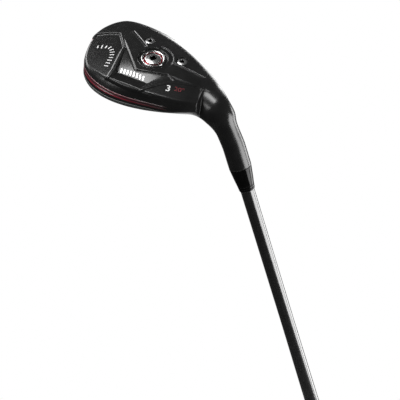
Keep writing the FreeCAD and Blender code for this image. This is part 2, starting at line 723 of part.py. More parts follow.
def main():
    nodes = (head_pieces() + weight_parts() + sole_screws() + skirt_stripe() + ferrule() + shaft_parts()
             + grip_parts())
    doc.recompute()
    for item in doc.Objects:
        if "Invalid" in item.State or "Error" in item.State:
            raise RuntimeError(f"{item.Name} failed: {item.State}")
    os.makedirs("parts", exist_ok=True)
    for node in nodes:
        piece = doc.getObjectsByLabel(node)[0]
        if piece.Shape.isNull() or not piece.Shape.isValid():
            raise RuntimeError(f"{node} has no valid shape")
        print(node, len(piece.Shape.Solids), "solids", round(piece.Shape.Volume, 1), "mm3")
        piece.Shape.exportStep(f"parts/{node}.step")


main()
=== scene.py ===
"""Looks of the hybrid golf club: the head, its sole weight and screws, the ferrule, shaft and grip.

The head is drawn in millimetres in its own address frame, x to the toe, y to the target and z up from the
ground, as signed distance fields that are meshed and then set on the end of the shaft.
"""
import math
import bmesh
import bpy
import numpy as np
from mathutils import Matrix, Vector

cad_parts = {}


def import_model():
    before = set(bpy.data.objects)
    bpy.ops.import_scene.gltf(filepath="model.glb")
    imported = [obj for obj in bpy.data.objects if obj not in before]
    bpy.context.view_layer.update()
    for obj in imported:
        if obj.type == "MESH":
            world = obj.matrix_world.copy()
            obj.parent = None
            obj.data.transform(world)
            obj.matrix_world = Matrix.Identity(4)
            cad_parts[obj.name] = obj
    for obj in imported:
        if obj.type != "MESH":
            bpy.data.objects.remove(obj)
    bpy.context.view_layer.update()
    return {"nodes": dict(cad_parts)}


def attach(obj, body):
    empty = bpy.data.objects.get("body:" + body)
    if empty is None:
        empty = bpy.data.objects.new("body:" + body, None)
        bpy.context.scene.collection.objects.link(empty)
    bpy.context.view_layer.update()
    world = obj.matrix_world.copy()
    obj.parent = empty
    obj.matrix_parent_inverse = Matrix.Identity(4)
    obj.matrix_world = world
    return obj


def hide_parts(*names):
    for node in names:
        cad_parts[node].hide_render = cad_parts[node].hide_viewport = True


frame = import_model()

MM = 0.001
LIE = math.radians(58)
CLUB_LENGTH = 1022.0  # butt end to the point where the shaft axis meets the ground
HOSEL_END = 55.0  # ground point of the shaft axis to the end of the hosel
HOSEL_RADIUS = 7.4
TIP_RADIUS = 4.7
TIP_LENGTH = 30.0  # shaft inside the hosel
UP_SHAFT = np.array([-math.cos(LIE), 0, math.sin(LIE)])  # from the ground toward the butt
TO_ROW = np.array([[-math.sin(LIE), 0, -math.cos(LIE)], [0, 1, 0], [math.cos(LIE), 0, -math.sin(LIE)]])
HEAD_FRAME = (TO_ROW, (0, 0, CLUB_LENGTH))  # turn and place in the row frame, in millimetres
SHAFT_FRAME = (np.eye(3), np.zeros(3))


def on_club(points):
    """Points of the head's frame in millimetres, in the row frame in metres."""
    return (np.asarray(points, float) @ TO_ROW.T + (0, 0, CLUB_LENGTH)) * MM


# ---- plan outlines and fields on a grid

SOLE_PLAN = [(-5, 0.9), (6, 10.7), (22, 13.2), (48, 13.3), (72, 11.6), (90.4, 7.4), (100.9, -6),
             (100.4, -18.5), (96, -29), (86.8, -38.5), (75, -46.9), (57, -48.4), (40, -44.4), (18, -32.4),
             (0, -16)]
CROWN_PLAN = [(-5, 0.4), (6, 9.4), (22, 11.3), (48, 11.2), (72, 9.4), (88.5, 5), (95.8, -6.4), (95.2, -17.5),
              (91.2, -28), (84, -38.6), (73.2, -49.6), (57, -54.1), (40, -49.9), (18, -35.6), (-1, -19.5)]
GRID_STEP = 0.25
GRID_LOW = np.array([-30.0, -80.0])
GRID_SHAPE = (600, 460)


class PlanGrid:
    """A field over the head's plan, sampled on a grid and read between its points."""

    def __init__(self, values):
        self.values = values.astype(np.float32)

    def __call__(self, x, y):
        u = np.clip((x - GRID_LOW[0]) / GRID_STEP, 0, GRID_SHAPE[0] - 1.001)
        v = np.clip((y - GRID_LOW[1]) / GRID_STEP, 0, GRID_SHAPE[1] - 1.001)
        i, j = u.astype(np.int32), v.astype(np.int32)
        a, b = u - i, v - j
        f = self.values
        return ((f[i, j] * (1 - a) + f[i + 1, j] * a) * (1 - b)
                + (f[i, j + 1] * (1 - a) + f[i + 1, j + 1] * a) * b)


def grid_points():
    x = GRID_LOW[0] + GRID_STEP * np.arange(GRID_SHAPE[0])
    y = GRID_LOW[1] + GRID_STEP * np.arange(GRID_SHAPE[1])
    return np.meshgrid(x, y, indexing="ij")


def smooth_loop(points, count=200):
    """Closed cubic spline through plan points, by chord length."""
    p = np.array(points, float)
    n = len(p)
    gap = np.linalg.norm(np.roll(p, -1, 0) - p, axis=1)
    before = np.roll(gap, 1)
    matrix = np.zeros((n, n))
    right = np.zeros((n, 2))
    for k in range(n):
        matrix[k, k - 1] = before[k]
        matrix[k, k] = 2 * (before[k] + gap[k])
        matrix[k, (k + 1) % n] = gap[k]
        right[k] = 6 * ((p[(k + 1) % n] - p[k]) / gap[k] - (p[k] - p[k - 1]) / before[k])
    bend = np.linalg.solve(matrix, right)
    ends = np.concatenate([[0], np.cumsum(gap)])
    t = np.linspace(0, ends[-1], count, endpoint=False)
    k = np.searchsorted(ends, t, side="right") - 1
    u, h = (t - ends[k])[:, None], gap[k][:, None]
    after = (k + 1) % n
    return (bend[k] * (h - u) ** 3 / (6 * h) + bend[after] * u ** 3 / (6 * h)
            + (p[k] / h - bend[k] * h / 6) * (h - u) + (p[after] / h - bend[after] * h / 6) * u)


def loop_distance(x, y, loop):
    """Signed distance to a closed plan loop, negative inside."""
    squared = np.full(x.shape, 1e9)
    sign = np.ones(x.shape)
    for start, end in zip(loop, np.roll(loop, -1, 0)):
        edge = end - start
        dx, dy = x - start[0], y - start[1]
        share = np.clip((dx * edge[0] + dy * edge[1]) / (edge @ edge), 0, 1)
        squared = np.minimum(squared, (dx - share * edge[0]) ** 2 + (dy - share * edge[1]) ** 2)
        above, below = y >= start[1], y < end[1]
        left = edge[0] * dy > edge[1] * dx
        sign = np.where((above & below & left) | (~above & ~below & ~left), -sign, sign)
    return sign * np.sqrt(squared)


def path_distance(x, y, points):
    """Distance to an open plan path and the side of it."""
    p = np.array(points, float)
    best, side = np.full(x.shape, 1e9), np.zeros(x.shape)
    for start, end in zip(p, p[1:]):
        edge = end - start
        dx, dy = x - start[0], y - start[1]
        share = np.clip((dx * edge[0] + dy * edge[1]) / math.hypot(*edge) ** 2, 0, 1)
        distance = np.hypot(dx - share * edge[0], dy - share * edge[1])
        nearer = distance < best
        best = np.where(nearer, distance, best)
        side = np.where(nearer, edge[0] * dy - edge[1] * dx, side)
    return best, np.sign(side)


def ramp(value, start, end):
    t = np.clip((value - start) / (end - start), 0, 1)
    return t * t * (3 - 2 * t)


def round_max(a, b, radius):
    """Intersection of two solids with a rounded edge."""
    return (np.minimum(-radius, np.maximum(a, b))
            + np.hypot(np.maximum(a + radius, 0), np.maximum(b + radius, 0)))


def round_min(a, b, radius):
    """Union of two solids with a rounded inner corner."""
    return -round_max(-a, -b, radius)


# ---- relief of the sole

PORT = (46.0, -14.0)
SCREWS = [(62.0, -4.0), (33.0, -0.5)]
KEEL_CREASE = [(86, -10.4), (82.5, -12), (75, -15.2), (60, -21.7), (44, -28.7), (40, -26), (28.5, -16)]
CHANNEL_FLOOR = [(58, -41), (26, -27.8)]
CHANNEL = [(83, -11.8), (75, -15.2), (60, -21.7), (44, -28.7), (40, -26), (28.5, -16), (21.8, -16.4),
           (23, -20), (26, -27.5), (28.6, -38.2), (28, -43), (50, -53), (50, -46), (53, -38.8), (63.2, -25),
           (66, -21.2), (76, -15.2)]
WEDGE_FOOT = [(28.2, -15.5), (30, -20.5), (31.5, -30), (29.5, -37.5)]
WEDGE_HEAD = [(20.3, -17.3), (23, -20), (26, -27.5), (28.6, -38.2)]
FRONT_LIP = [(28.5, -16), (20, -11.5), (5.5, -3), (1, -0.6), (5.8, -5.4), (11.5, -7.3), (15.5, -11.8),
             (19.5, -15.6), (21.8, -16.4)]
TOE_PANEL = [(82.5, -12.8), (77, -15.8), (67.6, -21.2), (65, -25.5), (55, -39.6), (51.4, -46.4),
             (50.5, -53), (70, -56), (92, -43), (91.4, -33), (94.2, -24.6), (89.2, -18.2)]
HEEL_PANEL = [(28, -38.8), (25, -27.5), (22, -20.4), (19, -15.8), (15, -11.3), (11, -7), (7.5, -5),
              (-2, -16), (5, -24), (15, -31.5)]
TOE_RIDGE = [(79, -6.2), (57, -11)]
HEEL_RIDGE = [(36, -7.8), (12.5, 2)]
HARD = 1.4  # steepness of the moulded steps
TERRACE_TURN = math.radians(140)
CHANNEL_DEPTH, CHANNEL_FALL, CHANNEL_SHELF, CHANNEL_WIDTH, CHANNEL_FAR_SLOPE = 2.1, 1.9, 0.2, 7.6, 0.45
CREASE_FOLD = ([0, 1.1, 1.6], [0, 0.5, 0.2])  # distance from the keel's crease, depth
LIP_DEPTH, LIP_SLOPE = 0.3, 0.22
PANEL_EDGE = 0.9  # width of the slope round a panel
PANELS = [(TOE_PANEL, 1.0), (HEEL_PANEL, 0.5)]  # outline and depth
TERRACE, DISH = (13.3, 0.6), (10.2, 1.4)  # radius and depth of the steps round the port
RIDGES = [(TOE_RIDGE, 2.4, 1.6, 0.5), (HEEL_RIDGE, 1.8, 1.4, 0.42)]  # line, widths at its ends, height
RIDGE_DROP, RIDGE_START, RIDGE_END = 0.45, 0.6, 1.5  # lengths of its slopes
RIDGE_CLEAR = 10.5  # distance from the port at which the ridges begin


def rib_height(x, y, line, start_width, end_width, height):
    """Bar along a line that rises toward the face and then drops at once."""
    start, end = np.array(line, float)
    length = math.dist(*line)
    way = (end - start) / length
    along = (x - start[0]) * way[0] + (y - start[1]) * way[1]
    across = (x - start[0]) * way[1] - (y - start[1]) * way[0]
    across *= -np.sign(way[0])
    width = start_width + (end_width - start_width) * np.clip(along / length, 0, 1)
    slope = np.clip((across + width / 2) / width, 0, 1)
    drop = np.clip((width / 2 + RIDGE_DROP - across) / RIDGE_DROP, 0, 1)
    ends = np.clip(along / RIDGE_START, 0, 1) * np.clip((length - along) / RIDGE_END, 0, 1)
    return height * np.minimum(slope, drop) * ends


def relief_field():
    """Depth carved into the sole's camber, over the plan."""
    x, y = grid_points()

    def inside(loop):
        return -loop_distance(x, y, np.array(loop, float))

    crease = path_distance(x, y, KEEL_CREASE)[0]
    floor, side = path_distance(x, y, CHANNEL_FLOOR)
    front = side * floor
    rise = np.where(front < CHANNEL_WIDTH, CHANNEL_DEPTH - CHANNEL_FALL * front / CHANNEL_WIDTH,
                    CHANNEL_SHELF + CHANNEL_FAR_SLOPE * (front - CHANNEL_WIDTH))
    slope = np.where(front < 0, CHANNEL_DEPTH * crease / (crease - front + 1e-6), rise)
    foot, head = path_distance(x, y, WEDGE_FOOT), path_distance(x, y, WEDGE_HEAD)
    wedge = np.where(foot[1] > 0, 1, head[0] / (head[0] + foot[0] + 1e-6))
    channel = np.clip(slope, 0, 3) * wedge + np.interp(crease, *CREASE_FOLD)
    depth = np.minimum(channel, np.clip(inside(CHANNEL), 0, None) * HARD)
    depth = np.maximum(depth, np.minimum(LIP_DEPTH, np.clip(inside(FRONT_LIP), 0, None) * LIP_SLOPE))
    for outline, sunk in PANELS:
        depth = np.maximum(depth, np.interp(inside(outline), [0, PANEL_EDGE], [0, sunk]))

    dx, dy = x - PORT[0], y - PORT[1]
    reach = np.hypot(dx, dy)
    shown = ramp(np.cos(np.arctan2(dy, dx) - TERRACE_TURN), 0.1, 0.3)
    depth = np.maximum(depth, shown * np.clip((TERRACE[0] - reach) * HARD, 0, TERRACE[1]))
    depth = np.maximum(depth, np.clip((DISH[0] - reach) * HARD, 0, DISH[1]))
    clear = np.clip(reach - RIDGE_CLEAR, 0, 1)
    for ridge in RIDGES:
        depth = depth - clear * rib_height(x, y, *ridge)
    return PlanGrid(depth)


grid_x, grid_y = grid_points()
sole_wall = PlanGrid(loop_distance(grid_x, grid_y, smooth_loop(SOLE_PLAN)))
crown_wall = PlanGrid(loop_distance(grid_x, grid_y, smooth_loop(CROWN_PLAN)))
relief = relief_field()


# ---- fields of the head

SOLE_RADIUS = 200.0
SOLE_LOW = (40.0, -15.0)
SOLE_EDGE, CROWN_EDGE, WALL_SWELL = 5.0, 14.0, 1.6
LOFT = math.radians(20)
FACE_RADIUS = 280.0
FACE_LOOK = np.array([0, math.cos(LOFT), math.sin(LOFT)])
FACE_CENTRE = np.array([44, 13.3, 2]) - FACE_RADIUS * FACE_LOOK
CUP_DEPTH = 4.8
CUP_HEEL, CUP_TOE = 9.0, 100.0
SCORE_ROWS, SCORE_LOWEST, SCORE_PITCH = 6, 7.0, 3.4
SCORE_HALF, SCORE_DEPTH, SCORE_MIDDLE, SCORE_REACH = 0.45, 0.3, 44, 22
CROWN_CENTRE = (23.1, 100.9, -20.0)
CROWN_AXES = (183.85, 80.05, 69.0)
CROWN_TURN = math.radians(-74.7)
CROWN_INSET, CROWN_THICKNESS = 1.0, 0.8
EDGE_ROLL, EDGE_FACE, EDGE_SOLE, EDGE_REACH = 2.6, 0.692, 0.889, 1.9  # turn of the face into the sole
SKIRT_ROLL, HEEL_EDGE_ROLL, FACE_ROLL, CROWN_ROLL, HOSEL_ROLL = 1.8, 0.4, 1.5, 0.5, 0.4
HEEL_ROLL = 17.0  # radius of the sole's turn into the neck's rear side
ROLL_FROM, ROLL_WAY = (8, -4.5), (0.753, -0.659)  # plan point and direction in which that turn fades
ROLL_FADES = [(25, -1.5, 6), (60, 3, 12)]  # how far it draws back, between two places along that way
ROLL_BACK = (5, 0.408, 0.913, 1.9)  # plan line in front of which the turn ends
NECK_LEAN, NECK_WAY, NECK_BENT = 1.3, (0.64, -0.77), (42, 24)  # heights between which the neck leans out
NECK_START, NECK_END_ROLL, NECK_BLEND = 13.5, 7.3, 16
PORT_BORES = [(7.95, 2.3), (6.25, 3.5), (3.5, 13.0)]  # radius and top
SCREW_BORES = [(3.7, 3.0), (1.95, 8.0)]
SEAM = 0.02


def wall_field(x, y, z):
    """Upright sides, which swell from the sole's plan to the crown's."""
    share = 1 - (1 - np.clip((z - SOLE_EDGE) / (CROWN_EDGE - SOLE_EDGE), 0, 1)) ** WALL_SWELL
    return (1 - share) * sole_wall(x, y) + share * crown_wall(x, y)


def ball_field(x, y, z, centre, radius):
    return np.sqrt((x - centre[0]) ** 2 + (y - centre[1]) ** 2 + (z - centre[2]) ** 2) - radius


def sole_field(x, y, z):
    return ball_field(x, y, z, (*SOLE_LOW, SOLE_RADIUS), SOLE_RADIUS) + relief(x, y)


def face_field(x, y, z):
    return ball_field(x, y, z, FACE_CENTRE, FACE_RADIUS)


def crown_field(x, y, z):
    """Near distance to the egg-shaped crown."""
    dx, dy, dz = x - CROWN_CENTRE[0], y - CROWN_CENTRE[1], z - CROWN_CENTRE[2]
    u = dx * math.cos(CROWN_TURN) + dy * math.sin(CROWN_TURN)
    v = -dx * math.sin(CROWN_TURN) + dy * math.cos(CROWN_TURN)
    a, b, c = CROWN_AXES
    near = np.sqrt((u / a) ** 2 + (v / b) ** 2 + (dz / c) ** 2)
    steep = np.sqrt((u / a ** 2) ** 2 + (v / b ** 2) ** 2 + (dz / c ** 2) ** 2) + 1e-9
    return near * (near - 1) / steep


def heel_roll(x, y, z):
    """Rounding of the sole into the neck's rear side, heelward of the heel panel."""
    toeward = (x - ROLL_FROM[0]) * ROLL_WAY[0] + (y - ROLL_FROM[1]) * ROLL_WAY[1]
    heel, rearward, share, off = ROLL_BACK
    back = y * share + (x - heel) * rearward - off
    roll = np.hypot(np.minimum(back, 0), np.minimum(-sole_field(x, y, z) - HEEL_ROLL, 0)) - HEEL_ROLL
    for depth, start, end in ROLL_FADES:
        roll = roll - depth * ramp(toeward, start, end)
    return roll


def form_field(x, y, z):
    """The head without its neck."""
    under, face = sole_field(x, y, z), face_field(x, y, z)
    under = round_max(under, EDGE_FACE * face + EDGE_SOLE * under + EDGE_REACH, EDGE_ROLL)
    solid = round_max(wall_field(x, y, z), under, SKIRT_ROLL)
    solid = round_max(solid, heel_roll(x, y, z), HEEL_EDGE_ROLL)
    solid = round_max(solid, face, FACE_ROLL)
    return round_max(solid, crown_field(x, y, z), CROWN_ROLL)


def hosel_field(x, y, z):
    """Distance from the shaft's axis and the height along it."""
    along = x * UP_SHAFT[0] + z * UP_SHAFT[2]
    across = np.sqrt((x - along * UP_SHAFT[0]) ** 2 + y ** 2 + (z - along * UP_SHAFT[2]) ** 2)
    return across, along


def outer_field(x, y, z):
    """Whole head with its neck blended in."""
    along = x * UP_SHAFT[0] + z * UP_SHAFT[2]
    lean = NECK_LEAN * ramp(along, *NECK_BENT)
    across = hosel_field(x - NECK_WAY[0] * lean, y - NECK_WAY[1] * lean, z)[0]
    hosel = round_max(across - HOSEL_RADIUS, along - HOSEL_END, HOSEL_ROLL)
    hosel = round_max(hosel, NECK_START - along, NECK_END_ROLL)
    return round_min(form_field(x, y, z), hosel, NECK_BLEND)


def bores_field(x, y, z):
    """Distance to the holes of the port, the screws and the shaft, negative inside them."""
    across, along = hosel_field(x, y, z)
    hole = np.maximum(across - TIP_RADIUS - 0.05, HOSEL_END - TIP_LENGTH - along)
    for (toe, front), bores in ((PORT, PORT_BORES), (SCREWS[0], SCREW_BORES), (SCREWS[1], SCREW_BORES)):
        reach = np.hypot(x - toe, y - front)
        for radius, top in bores:
            hole = np.minimum(hole, np.maximum(reach - radius, z - top))
    return hole


def score_field(x, y, z):
    """Distance to the level grooves across the face, negative inside them."""
    up = z - SCORE_LOWEST - SCORE_HALF
    row = np.clip(np.round(up / SCORE_PITCH), 0, SCORE_ROWS - 1)
    off = np.abs(up - row * SCORE_PITCH) - SCORE_HALF
    return np.maximum(np.maximum(np.abs(x - SCORE_MIDDLE) - SCORE_REACH, off),
                      -SCORE_DEPTH - face_field(x, y, z))


def cup_region(x, y, z):
    """Negative in the part of the head that the face cup fills."""
    return np.maximum(-CUP_DEPTH - face_field(x, y, z), np.maximum(CUP_HEEL - x, x - CUP_TOE))


def crown_region(x, y, z):
    """Negative in the part of the head that the crown shell fills."""
    lid = np.maximum(crown_wall(x, y) + CROWN_INSET, -CROWN_THICKNESS - crown_field(x, y, z))
    return np.maximum(lid, np.maximum(CUP_DEPTH + face_field(x, y, z), CUP_HEEL - x))


def bored(x, y, z):
    return np.maximum(outer_field(x, y, z), -bores_field(x, y, z))


def body_solid(x, y, z):
    return np.maximum(bored(x, y, z), np.maximum(-cup_region(x, y, z), SEAM - crown_region(x, y, z)))


def cup_solid(x, y, z):
    return np.maximum(np.maximum(bored(x, y, z), -score_field(x, y, z)), cup_region(x, y, z))


def crown_solid(x, y, z):
    return np.maximum(outer_field(x, y, z), crown_region(x, y, z) + SEAM)


# ---- meshing of fields

KEPT_MIDDLE = 0.08  # weight that holds a vertex in the middle of its cell's crossings
OVERHANG = 0.1  # share of a cell by which a vertex may leave it
NORMAL_INWARD = 0.3  # share of the way to a face's middle at which its corners' normals are read


def gradient(field, points, step=GRID_STEP):
    slope = np.empty_like(points)
    for axis in range(3):
        shift = np.zeros(3)
        shift[axis] = step
        slope[:, axis] = field(*(points + shift).T) - field(*(points - shift).T)
    return slope / (2 * step)


def unit(vectors):
    return vectors / np.maximum(np.linalg.norm(vectors, axis=1, keepdims=True), 1e-9)


def sampled(field, low, count, cell):
    """The field's values at a block's grid points."""
    values = np.empty(count, np.float32)
    gx, gy = np.meshgrid(*(low[k] + cell * np.arange(count[k]) for k in (0, 1)), indexing="ij")
    for k in range(count[2]):
        values[:, :, k] = field(gx, gy, np.full(gx.shape, low[2] + cell * k))
    return values


def contour(field, low, high, cell):
    """Vertices and quads of a field's zero surface by dual contouring, which keeps its sharp edges."""
    low = np.array(low, float)
    count = tuple(int(math.ceil((b - a) / cell)) + 1 for a, b in zip(low, high))
    values = sampled(field, low, count, cell)
    cells = tuple(n - 1 for n in count)
    stride = np.array([cells[1] * cells[2], cells[2], 1])
    points, owners, rows, walls = [], [], [], []
    start = 0
    for axis in range(3):
        head, tail = [slice(None)] * 3, [slice(None)] * 3
        head[axis], tail[axis] = slice(0, -1), slice(1, None)
        first, last = values[tuple(head)], values[tuple(tail)]
        where = np.argwhere((first < 0) != (last < 0))
        a, b = first[tuple(where.T)], last[tuple(where.T)]
        spots = low + cell * where
        spots[:, axis] += cell * (a / (a - b))
        points.append(spots)
        ring = []
        for steps in ((-1, -1), (0, -1), (0, 0), (-1, 0)):
            corner = where.copy()
            corner[:, [k for k in range(3) if k != axis]] += steps
            if (corner < 0).any() or (corner >= cells).any():
                raise RuntimeError("the surface leaves the block that it is meshed in")
            ring.append(corner @ stride)
        owners += ring
        rows += [np.arange(start, start + len(where))] * 4
        start += len(where)
        ring = np.stack(ring, 1)
        back = (a < 0) == (axis == 1)
        ring[back] = ring[back][:, ::-1]
        walls.append(ring)
    points, owners, rows = (np.concatenate(parts) for parts in (points, owners, rows))
    slope = gradient(field, points)
    steep = np.linalg.norm(slope, axis=1)
    off = field(*points.T)
    points -= (off / np.maximum(steep, 0.2))[:, None].clip(-cell / 2, cell / 2) * unit(slope)
    normals = unit(gradient(field, points))
    used, index = np.unique(owners, return_inverse=True)
    total = len(used)

    def gathered(weights):
        return np.bincount(index, weights, total)

    amount = gathered(np.ones(len(rows)))
    middle = np.stack([gathered(points[rows, k]) for k in range(3)], 1) / amount[:, None]
    n, p = normals[rows], points[rows] - middle[index]
    squares = np.empty((total, 3, 3))
    for i in range(3):
        for j in range(i, 3):
            squares[:, i, j] = squares[:, j, i] = gathered(n[:, i] * n[:, j])
    toward = np.stack([gathered(n[:, k] * (n * p).sum(1)) for k in range(3)], 1)
    squares += np.eye(3) * (KEPT_MIDDLE * amount)[:, None, None]
    moved = np.linalg.solve(squares, toward[:, :, None])[:, :, 0]
    place = np.stack([used // stride[0], used // stride[1] % cells[1], used % cells[2]], 1)
    corner = low + cell * place
    vertices = np.clip(middle + moved, corner - OVERHANG * cell, corner + (1 + OVERHANG) * cell)
    return vertices, np.searchsorted(used, np.concatenate(walls))


def new_object(name, data):
    item = bpy.data.objects.new(name, data)
    bpy.context.scene.collection.objects.link(item)
    return item


def final_mesh(item, name, spent=False):
    """Mesh that an object's modifiers make, the object removed where it is spent."""
    mesh = bpy.data.meshes.new_from_object(item.evaluated_get(bpy.context.evaluated_depsgraph_get()))
    if spent:
        bpy.data.objects.remove(item)
    mesh.name = name
    return mesh


def read(items, key, kind=np.int32, width=1):
    values = np.empty(len(items) * width, kind)
    items.foreach_get(key, values)
    return values


def vertex_places(mesh):
    return read(mesh.vertices, "co", np.float32, 3).reshape(-1, 3).astype(float)


def own_places(piece, frame_of_piece):
    """A piece's points on the axes of a frame, in millimetres."""
    turn, place = frame_of_piece
    return (vertex_places(piece.data) / MM - place) @ turn


def float_attribute(piece, name, values, domain="POINT"):
    layer = piece.data.attributes.new(name, "FLOAT", domain)
    layer.data.foreach_set("value", np.asarray(values, np.float32))


def field_mesh(name, field, low, high, cell, triangles):
    """Mesh of a field in the row frame, thinned to a number of triangles, normals read from the field."""
    vertices, quads = contour(field, low, high, cell)
    mesh = bpy.data.meshes.new(name)
    mesh.from_pydata(vertices.tolist(), [], quads.tolist())
    piece = new_object(name, mesh)
    share = triangles / (2 * len(quads))
    if share < 1:
        thin = piece.modifiers.new("thin", "DECIMATE")
        thin.ratio = share
        mesh = final_mesh(piece, name)
        piece.modifiers.remove(thin)
        piece.data = mesh
    mesh.validate()
    places = vertex_places(mesh)
    loops, sides = read(mesh.loops, "vertex_index"), read(mesh.polygons, "loop_total")
    owner = np.repeat(np.arange(len(sides)), sides)
    centres = np.stack([np.bincount(owner, places[loops, k]) for k in range(3)], 1) / sides[:, None]
    inward = places[loops] * (1 - NORMAL_INWARD) + centres[owner] * NORMAL_INWARD
    slope = gradient(field, inward)
    skin = np.abs(outer_field(*inward.T)) < 0.05
    slope[skin] = gradient(outer_field, inward[skin])
    mesh.vertices.foreach_set("co", on_club(places).astype(np.float32).ravel())
    mesh.polygons.foreach_set("use_smooth", np.ones(len(sides), bool))
    mesh.normals_split_custom_set((unit(slope) @ TO_ROW.T).tolist())
    mesh.update()
    return piece


# ---- turned pieces

def port_frame(toe, front, height):
    """Turn and place, in millimetres, of a piece whose own z axis points into the sole at a plan point."""
    return TO_ROW, np.array([toe, front, height]) @ TO_ROW.T + (0, 0, CLUB_LENGTH)


def rounded(corners, radius, steps=4):
    """Closed profile with its corners rounded, where the sides have room."""
    out = []
    for trio in zip(corners[-1:] + corners[:-1], corners, corners[1:] + corners[:1]):
        before, corner, after = np.array(trio, float)
        sides = np.array([before, after]) - corner
        lengths = np.linalg.norm(sides, axis=1)
        start, end = corner + sides / lengths[:, None] * min(radius, *(0.45 * lengths))
        for step in range(steps + 1):
            t = step / steps
            out.append(tuple((1 - t) ** 2 * start + 2 * t * (1 - t) * corner + t ** 2 * end))
    return out


def strips(rings, size, closed=False):
    """Quads between neighbouring rings of points, the last ring joined to the first where closed."""
    after = [*range(1, rings), 0] if closed else range(1, rings)
    return [[a * size + k, a * size + (k + 1) % size, b * size + (k + 1) % size, b * size + k]
            for a, b in zip(range(rings), after) for k in range(size)]


def mesh_piece(name, vertices, faces, sharp=35):
    """Closed mesh piece from points of the row frame in metres, smooth apart from its sharp edges."""
    mesh = bpy.data.meshes.new(name)
    mesh.from_pydata([tuple(v) for v in vertices], [], faces)
    work = bmesh.new()
    work.from_mesh(mesh)
    bmesh.ops.remove_doubles(work, verts=work.verts, dist=1e-7)
    bmesh.ops.recalc_face_normals(work, faces=work.faces)
    for edge in work.edges:
        edge.smooth = len(edge.link_faces) != 2 or edge.calc_face_angle(0) < math.radians(sharp)
    for face in work.faces:
        face.smooth = True
    work.to_mesh(mesh)
    work.free()
    return new_object(name, mesh)


def turned(name, profile, frame_of_piece, segments=96, sharp=35):
    """Solid of revolution from a closed profile of radii and heights in millimetres.

    A radius or height may be an array with a value for each segment. The attribute lathe grows along the
    profile, for turning marks.
    """
    turn, place = frame_of_piece
    angles = 2 * math.pi * np.arange(segments) / segments
    level = 0 * angles
    points = np.concatenate([np.column_stack([r * np.cos(angles), r * np.sin(angles), h + level])
                             for r, h in profile])
    on_axis = [np.max(r) < 1e-6 for r, _ in profile]
    faces = []
    for quad in strips(len(profile), segments, closed=True):
        first, last = on_axis[quad[0] // segments], on_axis[quad[2] // segments]
        if not (first and last):
            faces.append(quad[1:] if first else quad[:3] if last else quad)
    piece = mesh_piece(name, (points @ turn.T + place) * MM, faces, sharp)
    own = own_places(piece, frame_of_piece)
    float_attribute(piece, "lathe", np.hypot(own[:, 0], own[:, 1]) + 0.73 * own[:, 2])
    return piece


KEY_STEPS = [(0.45, 1), (0.9, 0.97), (0.98, 0.85)]  # shares of the key's radius and depth
DOME_STEPS = (0.2, 0.4, 0.6, 0.8, 0.92)


def star_screw(name, place, head_radius, head_height, dome, key_radius, key_depth, shank_radius, shank_length,
               segments=96):
    """Domed screw with a six-lobed key recess, its outermost point at the place and its shank inward."""
    lobes = key_radius * (0.85 + 0.15 * np.cos(6 * 2 * math.pi * np.arange(segments) / segments))

    def dish(radius):
        return radius, dome * (radius / head_radius) ** 2.2

    rim = lobes + 0.3
    end = head_height + shank_length
    profile = [(0, key_depth)] + [(lobes * wide, key_depth * deep) for wide, deep in KEY_STEPS]
    profile += [(lobes, 0.4), (lobes + 0.1, 0.16), dish(rim)]
    profile += [dish(rim * (1 - share) + (head_radius - 0.3) * share) for share in DOME_STEPS]
    profile += [(head_radius - 0.1, dome + 0.02), (head_radius, dome + 0.2), (head_radius, head_height),
                (shank_radius, head_height), (shank_radius, end - 0.5), (shank_radius - 0.5, end), (0, end)]
    piece = turned(name, profile, place, segments, 40)
    own = own_places(piece, place)
    # key_pit marks the key recess, which the screw finish colours near black as painted shade
    float_attribute(piece, "key_pit", (np.hypot(own[:, 0], own[:, 1]) < key_radius * 1.02)
                    & (own[:, 2] < key_depth + 0.1))
    return piece


# ---- bands around the skirt

STRIPE_ROWS = [(8.42, 0.0), (8.47, 0.08), (8.67, 0.08), (8.72, 0.02), (9.95, 0.02), (10.0, 0.1),
               (10.5, 0.1), (10.56, 0.02), (10.80, 0.0), (10.75, -0.5), (8.45, -0.5)]
# rows of the stripe's raised pin lines, and how strongly each is coloured as painted highlight
STRIPE_PIN_HIGHLIGHTS = {1: 1.0, 5: 0.5}
RIM_ROWS = [(12.2, 0.0), (12.26, 0.14), (12.5, 0.14), (12.56, 0.02), (13.0, 0.02), (13.06, 0.14),
            (13.26, 0.14), (13.32, -0.05), (13.2, -0.5), (12.3, -0.5)]
# rows of the rim's raised lines, and how strongly each is coloured grey as painted highlight
RIM_PIN_HIGHLIGHTS = {1: 1.0, 5: 0.6}
BAND_FRONT, BAND_TOE = -11, 97
BAND_SUNK = 0.06  # depth of a band's ends under the wall
BAND_FADE = 12  # points over which a band sinks in
TOE_FADE = 26  # millimetres over which the stripe turns black toward the heel


def rear_wall_path(count, heel):
    """Plan points and outward directions along the rear of the skirt, from the toe to the heel."""
    loop = smooth_loop(CROWN_PLAN, 1200)
    out = np.roll(loop, -1, 0) - np.roll(loop, 1, 0)
    out = unit(np.stack([out[:, 1], -out[:, 0]], 1))
    out *= np.sign(((loop - loop.mean(0)) * out).sum(1))[:, None]
    index = np.flatnonzero((loop[:, 1] < BAND_FRONT) & (loop[:, 0] > heel) & (loop[:, 0] < BAND_TOE))
    pick = index[np.linspace(0, len(index) - 1, count).astype(int)]
    return loop[pick], out[pick]


